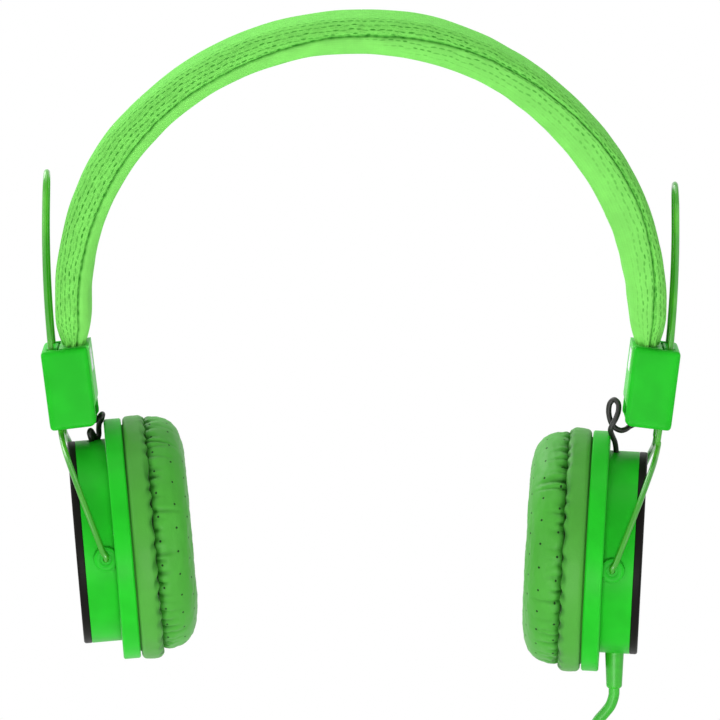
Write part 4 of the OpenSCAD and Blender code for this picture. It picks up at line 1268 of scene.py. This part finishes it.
@dataclass
class EarPad:
    """The leatherette cushion and the padded roll behind it."""

    wardrobe: Wardrobe
    place: CupPlace
    flange_mm: float = 35.8
    cushion_mm: float = 33.6
    height_mm: float = 11.0
    hole_mm: float = 14.0
    front_mm: float = -11.45
    roll_mm: float = -5.4
    around: int = 540
    over: int = 110
    hidden_mm: float = 1.7
    creases: int = 64
    scallops: int = 40
    sag_mm: dict[Side, float] = field(
        default_factory=lambda: {Side.LEFT: 0.3, Side.RIGHT: 0.9})

    def outline(self) -> list[tuple[float, float]]:
        """The cushion's section as radius and X, from its hidden back round to it again."""
        r, h, x, w = self.cushion_mm, self.height_mm, self.front_mm - 0.05, self.hole_mm
        return [(w + 0.6, x), (r - 1.5, x), (r - 0.5, x - 0.3), (r, x - 1.1),
                (r + 0.15, x - 2.2), (r, x - 3.6), (r - 0.5, x - h + 5.6), (r - 1.3, x - h + 4.0),
                (r - 2.6, x - h + 2.6), (r - 4.3, x - h + 1.5), (r - 6.8, x - h + 0.6),
                (r - 9.6, x - h + 0.15), (w + 5.4, x - h + 0.1), (w + 2.2, x - h + 1.3),
                (w + 0.3, x - h + 4.4), (w, x - 2.4)]

    def _section(self) -> list[tuple[float, float, float]]:
        """The outline in even steps: radius, X and the way along it from the seam."""
        raw = self.outline()
        ring = [Vector((r, x, 0)) for r, x in raw]
        line = rounded_route(ring[1:] + ring[:2], 24)
        reach = list(accumulate(((b - a).length for a, b in zip(line, line[1:])), initial=0.0))
        wants = [reach[-1] * k / self.over for k in range(self.over)]
        spots = [line[i].lerp(line[i + 1], share) for i, share in walk(reach, wants)]
        return [(spot.x, spot.y, want) for spot, want in zip(spots, wants)]

    def _crease_list(self, side: Side) -> list[Crease]:
        """The creases of one side's cushion, the same at every run."""
        draw = random.Random(20 + side.value)
        return [Crease((k + draw.uniform(-0.36, 0.36)) * TURN / self.creases,
                       draw.uniform(0.011, 0.026), 0.2 + 0.75 * draw.random() ** 1.8,
                       draw.choice((2.6, 3.6, 4.6, 6.0, 8.5, 11.0)), draw.uniform(-0.02, 0.02))
                for k in range(self.creases)]

    def cushion(self, side: Side) -> bpy.types.Object:
        """The perforated cushion with its gathered seam and creased side."""
        n, m = self.around, self.over
        bpy.ops.mesh.primitive_grid_add(x_subdivisions=n, y_subdivisions=m, size=1)
        piece = Bench.named(f"{side.label}_cushion")
        section = self._section()
        creases = self._crease_list(side)
        spread = [[(c, (i * TURN / n - c.angle + math.pi) % TURN - math.pi) for c in creases]
                  for i in [*range(n), 0]]
        spread = [[(c, d) for c, d in row if abs(d) < 0.09] for row in spread]
        slopes = []
        for j in [*range(m), 0]:
            (r0, x0, _), (r1, x1, _) = section[j - 1], section[(j + 1) % m]
            slopes.append(Vector((-(x1 - x0), r1 - r0, 0)).normalized())

        def move(_: Vector, index: int) -> Vector:
            j, i = divmod(index, n + 1)
            radius, x, reach = section[j % m]
            angle = (i % n) * TURN / n
            reach = max(reach - self.hidden_mm, 0.0)
            seam = math.exp(-((reach / 2.0) ** 1.2)) if reach < 20 else 0
            fold = 0.0
            for crease, off in spread[i]:
                off -= crease.lean * reach * 0.12
                fall = smooth(1 - reach / crease.reach_mm) if reach < crease.reach_mm else 0
                fold += crease.depth_mm * fall * bell(off, crease.width)
            spot = Vector((math.cos(angle), math.sin(angle), reach * 0.08))
            swell = 0.3 * noise.noise(spot * 2.6 + Vector((0, 0, side.value)))
            ripple = 0.16 * noise.noise(spot * 8.0) + 0.06 * noise.noise(spot * 22.0)
            bulge = 0.26 * seam * math.sin(angle * self.scallops + 4 * noise.noise(spot * 4))
            face = 1.0 if reach < 32 else 0.0
            shift = face * (swell + ripple + bulge - fold)
            # Painted shade: darker in the creases and along the gathered seam.
            deep[index] = face * (fold * 0.75 + 0.5 * bell(reach, 0.7))
            out = slopes[j]
            flat_back = 0.0 if x > self.front_mm - 0.2 else 1.0
            radius += out.x * shift * flat_back
            x += out.y * shift * flat_back
            return Vector((x, radius * math.cos(angle), radius * math.sin(angle))) * MM

        deep = [0.0] * len(piece.data.vertices)
        Bench.shape(piece, move)
        Bench.weave(piece, lambda k: (k % (n + 1) / n, section[1][2] * (k // (n + 1)) * MM))
        Bench.note(piece, deep)
        Bench.outwards(piece)
        Bench.soften(piece, 80)
        lifted = Matrix.Translation((0, 0, self.sag_mm[side] * MM))
        return Bench.put(piece, self.place.matrix(side) @ lifted)

    def roll(self, side: Side) -> bpy.types.Object:
        """The padded roll that clips on the baffle."""
        r, back, front = self.flange_mm, self.roll_mm, self.front_mm
        mid, tall = (back + front) / 2, (back - front) / 2
        outline = [(18.6, back + 0.35), (r - 2.9, back + 0.35), (r - 2.7, back)]
        outline += corner((r - 1.75, back - 1.45), 1.45, 90, 0, 7)
        outline += [(r - 0.22, mid + 0.6), (r - 0.2, mid - 0.6)]
        outline += corner((r - 1.8, front + 1.6), 1.6, 0, -90, 8)
        outline += [(22.4, front), (22.4, front + 0.6), (18.6, front + 0.6), (18.6, back + 0.35)]
        piece = Bench.lathe(f"{side.label}_pad_roll", outline, 360)

        def move(spot: Vector, index: int) -> Vector:
            reach = math.hypot(spot.y, spot.z)
            if reach < (r - 2.6) * MM:
                return spot
            angle = math.atan2(spot.z, spot.y)
            drift = Vector((math.cos(angle), math.sin(angle), spot.x * 90))
            low = (noise.noise(drift * 3.1 + Vector((side.value * 4, 0, 0))) * 0.2
                   + noise.noise(drift * 12) * 0.06)
            towards = smooth((mid * MM - spot.x) / (tall * MM))
            scallop = math.sin(angle * self.scallops + 4 * noise.noise(drift * 4))
            scallop += 0.8 * noise.noise(drift * 17)
            low += towards * 0.12 * scallop
            share = 1 + (low - 0.18) * MM / reach
            # Painted shade: darker towards the front edge, where the roll meets the cushion, in
            # scallops.
            edge = smooth((self.front_mm + 1.9 - spot.x / MM) / 1.9)
            deep[index] = edge * (0.5 + 0.3 * scallop)
            return Vector((spot.x + towards * towards * (0.3 * scallop - 0.1) * MM,
                           spot.y * share, spot.z * share))

        deep = [0.0] * len(piece.data.vertices)
        Bench.shape(piece, move)
        Bench.note(piece, deep)
        Bench.soften(piece, 50)
        return Bench.put(piece, self.place.matrix(side))

    def build(self, side: Side) -> None:
        """Makes one side's cushion and roll."""
        for piece, node, slot in (
                (self.cushion(side), "ear_cushion", "leatherette"),
                (self.roll(side), "pad_flange", "leatherette_back")):
            self.wardrobe.dress(piece, slot)
            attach(piece, f"{side.label}_cup")
            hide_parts(f"{side.label}_{node}")
            Bench.log(piece)


@dataclass
class CupShell:
    """The hard parts of a cup that the scene adds: its cap and two boss collars."""

    wardrobe: Wardrobe
    place: CupPlace
    cap_r_mm: float = 29.4
    cap_low_mm: float = 8.75
    cap_t_mm: float = 2.3
    boss_reach_mm: float = 30.7
    boss_mm: float = 7.0

    def cap(self, side: Side) -> bpy.types.Object:
        """The black outer disc: a rounded rim, a fine groove and a faintly domed middle."""
        r, low, top = self.cap_r_mm, self.cap_low_mm, self.cap_low_mm + self.cap_t_mm
        rim, groove = r - 1.8, r - 4.6
        outline = [(0.0, low), (rim - 2.4, low), (rim - 2.4, low - 1.1), (rim, low - 1.1),
                   (rim, low), (r - 0.15, low), (r, low + 0.15)]
        outline += corner((r - 0.7, top - 0.7), 0.7, 0, 90, 8)
        outline += [(groove + 0.5, top), (groove + 0.32, top - 0.12), (groove + 0.25, top - 0.35),
                    (groove - 0.25, top - 0.35), (groove - 0.32, top - 0.12), (groove - 0.5, top)]
        outline += [(groove * (1 - t / 8), top - 0.5 * smooth(t / 8)) for t in range(1, 8)]
        outline.append((0.0, top - 0.5))
        piece = Bench.lathe(f"{side.label}_cap", outline, 192)
        Bench.soften(piece, 30)
        return Bench.put(piece, self.place.matrix(side))

    def bosses(self, side: Side) -> None:
        """The rounded collars of the two pivot bosses."""
        top, hole, r = self.boss_reach_mm, 1.65, self.boss_mm / 2
        outline = [(hole, top - 1.2), (hole, top), (hole + 0.4, top + 0.1), (r - 0.6, top + 0.08)]
        outline += corner((r - 0.55, top - 0.5), 0.55, 80, 0, 7)
        outline += [(r, top - 1.2), (hole, top - 1.2)]
        for word, turn in (("front", -90), ("back", 90)):
            piece = Bench.lathe(f"{side.label}_boss_{word}", outline, 64)
            Bench.soften(piece, 30)
            Bench.put(piece, self.place.matrix(side)
                      @ Matrix.Translation((self.place.pivot_up_mm * MM, 0, 0))
                      @ Matrix.Rotation(math.radians(turn), 4, "Z"))
            self.wardrobe.dress(piece, "green_plastic")
            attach(piece, f"{side.label}_cup")

    def build(self, side: Side) -> None:
        """Makes one side's cap and boss collars."""
        self.bosses(side)
        piece = self.wardrobe.dress(self.cap(side), "black_plastic")
        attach(piece, f"{side.label}_cup")
        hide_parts(f"{side.label}_cap_disc")
        Bench.log(piece)


# ---------- leads and cable ----------


@dataclass
class SlackLead:
    """The thin black lead from a block to its cup, with its spare loop."""

    wardrobe: Wardrobe
    block: BlockPlace
    hole_mm: float = -2.3
    lead_mm: float = 1.6

    ROUTES = {
        Side.LEFT: (
            (0, 0, 0.6), (0, 0, -0.4), (-0.7, 0.9, -1.2), (-2.3, 1.7, -2.1),
            (-3.7, 0.8, -2.9), (-5.2, -0.2, -3), (-6.85, -0.8, -2.1), (-8, -0.5, -0.4),
            (-8.6, 0, 2.3), (-8.3, -0.4, 4.9), (-7.05, -1, 6.1), (-5.97, -2.2, 5.2),
            (-5.9, -3.2, 3.4), (-6.6, -3.8, 1.3), (-7.6, -4, -0.6), (-8.2, -3.6, -2.3),
            (-7.7, -2.6, -4.1), (-6.9, -1.4, -6), (-6.5, -0.3, -8), (-6.4, 0, -9.6),
            (-6.5, 0, -11.6)),
        Side.RIGHT: (
            (0, 0, 0.6), (0, 0, -0.4), (-0.6, 1.8, -0.9), (-1.6, 4, -1.1), (-2.8, 5.5, -1.2),
            (-4, 5, -0.6), (-5, 3.5, 0.8), (-5.6, 1.4, 1.5), (-5.6, -0.3, 1.1),
            (-5.2, 0.6, -0.1), (-4.6, 2, -1.4), (-4.4, 3.5, -3.2), (-4.4, 4, -4.9),
            (-4, 3.6, -6), (-3.4, 2, -5.6), (-2.8, 0.8, -4.1), (-2.2, 0, -3.1),
            (-1.9, -1, -3.6), (-2.2, -1.1, -4.8), (-2.5, -0.5, -6.2), (-2.7, -0.16, -9.2)),
    }
    STEPS = 6
    STUB_TOP_MM = 1.2
    STUB_POINTS = 2
    UPPER_POINTS = 3
    FOLDED_KEEP = 0.25
    LOOPED = (Side.LEFT,)

    def _exit(self) -> Vector:
        """The mouth of the lead's hole under the block, in metres."""
        lean = math.radians(self.block.lean)
        along = Vector((math.cos(lean), 0, -math.sin(lean))) * self.hole_mm
        down = Vector((math.sin(lean), 0, math.cos(lean))) * (-self.block.height_mm / 2)
        return (Vector(self.block.block_mm) + along + down) * MM

    def build(self, side: Side) -> None:
        """Makes one side's lead in lengths: an upper length from the block's hole, a loop that
        rides with the arm on the looped side, and a lower length down to the cup.

        Args:
            side: The side of the wearer's head.
        """
        start = self._exit()
        points = [start + p for p in metres(self.ROUTES[side])]
        points.insert(0, start + Vector((0, 0, self.STUB_TOP_MM * MM)))
        line = rounded_route(points, self.STEPS)
        place = [tuple(side.mirror @ p) for p in line]
        first = second = self.UPPER_POINTS * self.STEPS
        if side in self.LOOPED:
            second = max(i for i, p in enumerate(line) if p.z >= line[first].z)
            loop = self._length(side, "loop", line[first:second + 1])
            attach(loop, f"{side.label}_arm")
            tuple(place[first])
            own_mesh(loop)
        upper = self._length(side, "upper", line[:first + 1])
        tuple(place[0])
        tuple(place[self.STUB_POINTS * self.STEPS])
        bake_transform(upper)
        lower = self._length(side, "lower", line[second:])
        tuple(place[second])
        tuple(place[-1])
        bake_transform(lower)
        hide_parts(f"{side.label}_slack_lead")

    def _length(self, side: Side, word: str, part: Sequence[Vector]) -> bpy.types.Object:
        """One length of the lead."""
        piece = Bench.to_mesh(Bench.tube(f"{side.label}_lead_{word}", part,
                                         self.lead_mm * MM, 6))
        Bench.put(piece, side.mirror)
        self.wardrobe.dress(piece, "black_lead")
        Bench.log(piece)
        return piece


@dataclass
class Cable:
    """The cable from the left cup: free stretch, put-away coil, tail and plug."""

    wardrobe: Wardrobe
    cup: CupPlace
    width_mm: float = 3.2
    swing_mm: tuple[float, float, float] = (73.8983, -0.0414, -189.049)
    coil_mid_mm: tuple[float, float, float] = (-3.0, 0.0, -61.4)
    coil_r_mm: float = 29.0
    loops: int = 8
    pitch_mm: float = 4.0
    layer_mm: float = 4.0
    ring_points: int = 24
    relief_x_mm: float = 4.4
    relief_mm: float = 11.0
    relief_lean: float = 2.4
    housing_mm: float = 29.4
    hidden_mm: float = 1.5
    swing_gap_mm: float = 1.65

    LEAD = ((0, 0, 0), (-0.3, 0, -1.5), (-1.1, 0, -3.6), (-2.6, 0, -5.6), (-4.6, 0, -8),
            (-6.4, -0.6, -11.2), (-7.4, -2.6, -15.4), (-7.6, -6.4, -20.6), (-7, -12, -27.4),
            (-6.2, -18.8, -34.8), (-5.4, -24.8, -42), (-5, -28.4, -49), (-5, -29, -53),
            (-5, -29, -56.2))
    TAIL = ((-1, -29, -66.8), (-1, -29, -70), (-1.6, -28.6, -75), (-2.2, -27.2, -82),
            (-2.6, -26, -89), (-2.6, -25.6, -94), (-2.6, -25.6, -97.2))

    def _coil_point(self, turns: float) -> Vector:
        """A point of the coil after this many turns, from the swing point."""
        half = self.loops / 2
        radius = self.coil_r_mm - self.pitch_mm * (turns if turns < half else self.loops - turns)
        side = self.layer_mm * (min(max((turns - half + 0.25) * 2, 0), 1) - 0.5)
        x, y, z = self.coil_mid_mm
        return Vector((x + side, y - radius * math.cos(TURN * turns),
                       z - radius * math.sin(TURN * turns)))

    def route(self) -> list[Vector]:
        """The whole centre line, in metres, from the relief to the plug's boot."""
        x, _, z = self.coil_mid_mm
        half = self.layer_mm / 2
        coil = [Vector((x - half, -self.coil_r_mm, z + 2))]
        coil += [self._coil_point(i / self.ring_points)
                 for i in range(self.loops * self.ring_points + 1)]
        coil += [Vector((x + half, -self.coil_r_mm, z - 2))]
        points = [Vector(p) for p in self.LEAD] + coil + [Vector(p) for p in self.TAIL]
        swing = Vector(self.swing_mm)
        line = [(swing + p) * MM for p in points]
        first = len(self.LEAD)
        last = first + len(coil)
        return (rounded_route(line[:first + 1], 5)[:-1] + line[first:last - 1]
                + rounded_route(line[last - 1:], 5))

    def root(self) -> None:
        """Makes the cable's first stretch, which leaves the relief and ends in a round nub."""
        r, reach = self.width_mm / 2, self.hidden_mm + self.swing_gap_mm
        outline = [(0.0, 0.0), (r, 0.0), (r, reach)]
        outline += [(r * math.cos(a), reach + r * math.sin(a))
                    for a in (math.radians(15 * k) for k in range(1, 6))] + [(0.0, reach + r)]
        piece = Bench.soften(Bench.lathe("left_cable_root", outline, 40), 50)
        lean = Matrix.Rotation(-math.radians(self.relief_lean), 4, "Y")
        Bench.put(piece, self.cup.matrix(Side.LEFT)
                  @ Matrix.Translation(Vector((self.relief_x_mm, 0, -self.housing_mm)) * MM)
                  @ lean @ Matrix.Translation((0, 0, (self.hidden_mm - self.relief_mm) * MM))
                  @ Matrix.Rotation(math.pi / 2, 4, "Y"))
        self.wardrobe.dress(piece, "cable_jacket")
        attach(piece, "left_cup")
        Bench.log(piece)

    def build(self) -> None:
        """Makes the cable and logs its length."""
        route = self.route()
        length = sum((b - a).length for a, b in zip(route, route[1:]))
        piece = Bench.tube("cable", route, self.width_mm * MM, 5)
        self.wardrobe.dress(piece, "cable_jacket")
        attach(piece, "cable")
        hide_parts("cable_lead", "cable_coil", "cable_tail")
        tuple(route[0])
        LOG.info("cable: %.3f m", length)


# ---------- studio ----------


@dataclass
class Studio:
    """The floor, the soft lights and the camera."""

    camera_at: tuple[float, float, float] = (-0.0002, -1.7788, 0.1848)
    pitch: float = 8.8
    focal_px: float = 6223.0
    frame_px: float = 720.0
    sensor_mm: float = 36.0
    floor_gap: float = 0.042
    floor_tone: Colour = (0.82, 0.82, 0.82)
    world_light: float = 0.4
    aim: tuple[float, float, float] = (0, 0, -0.09)

    # name, place in metres, size in metres, watts
    LAMPS = (("key", (-1.3, -0.95, 0.1), 0.8, 6.4), ("fill", (1.4, -0.85, 0.0), 0.8, 4.6),
             ("low", (0.0, -0.5, -0.29), 0.14, 1.3), ("top", (0.0, 0.1, 1.3), 1.2, 11),
             ("back", (-0.8, 0.7, 0.8), 0.9, 14))

    def camera(self) -> None:
        """Puts the camera where the object is seen at its own angle."""
        bpy.ops.object.camera_add(location=self.camera_at,
                                  rotation=(math.radians(90 - self.pitch), 0, 0))
        camera = bpy.context.object
        camera.name = "camera"
        camera.data.lens = self.focal_px / self.frame_px * self.sensor_mm
        camera.data.sensor_width = self.sensor_mm
        camera.data.clip_start, camera.data.clip_end = 0.05, 60
        bpy.context.scene.camera = camera

    def _floor_finish(self) -> bpy.types.Material:
        """Pale floor that keeps the shadow near the object and is plain white far off."""
        tree = ShaderTree("studio_floor")
        x, y = tree.split(tree.place())
        far = (x * x + y * y).step(0.09, 0.3)
        matt = tree.add("ShaderNodeBsdfDiffuse", None, self.floor_tone)
        white = tree.add("ShaderNodeEmission", None, (1, 1, 1), 1.0)
        return tree.end("ShaderNodeMixShader", tree.seen() * far, matt, white)

    def floor(self, low: float) -> None:
        """Lays the floor far enough under the object for its lowest pose."""
        bpy.ops.mesh.primitive_plane_add(size=40, location=(0, 0, 0))
        floor = Bench.named("floor")
        floor.data.transform(Matrix.Translation((0, 0, low - self.floor_gap)))
        floor.data.materials.append(self._floor_finish())
        floor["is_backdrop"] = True

    def world(self) -> None:
        """White surroundings that light the object softly."""
        tree = ShaderTree("studio", world=True)
        dim, white = (tree.add("ShaderNodeBackground", None, (1, 1, 1), strength)
                      for strength in (self.world_light, 1.0))
        bpy.context.scene.world = tree.end("ShaderNodeMixShader", tree.seen(), dim, white)

    def lamp(self, name: str, at: Point, size: float, watts: float) -> None:
        """Hangs one soft square lamp."""
        bpy.ops.object.light_add(type="AREA", location=at)
        lamp = bpy.context.object
        lamp.name = name
        lamp.data.shape = "SQUARE"
        lamp.data.size = size
        lamp.data.energy = watts
        way = Vector(self.aim) - Vector(at)
        lamp.rotation_euler = way.to_track_quat("-Z", "Y").to_euler()

    def build(self, low: float) -> None:
        """Sets up the whole studio."""
        bpy.context.scene.view_settings.view_transform = "Standard"
        self.camera()
        self.floor(low)
        self.world()
        for lamp in self.LAMPS:
            self.lamp(*lamp)
        LOG.info("studio ready")


def main() -> None:
    """Builds the headphone piece by piece."""
    logging.basicConfig(level=logging.INFO, format="%(name)s: %(message)s")
    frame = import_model()
    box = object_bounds()
    Bench.clear()
    wardrobe = Wardrobe(frame)
    block = BlockPlace()
    cup = CupPlace(block)
    Studio().build(box[0].z)
    cable = Cable(wardrobe, cup)
    cable.build()
    cable.root()
    wardrobe.dress_nodes()
    Headband(wardrobe).build()
    pad, shell = EarPad(wardrobe, cup), CupShell(wardrobe, cup)
    arm, lead = WireArm(wardrobe, block), SlackLead(wardrobe, block)
    skin = BlockSkin(wardrobe, block)
    for side in Side:
        skin.build(side)
        arm.build(side)
        pad.build(side)
        shell.build(side)
        lead.build(side)
    Bench.clear()


if __name__ == "__main__":
    main()
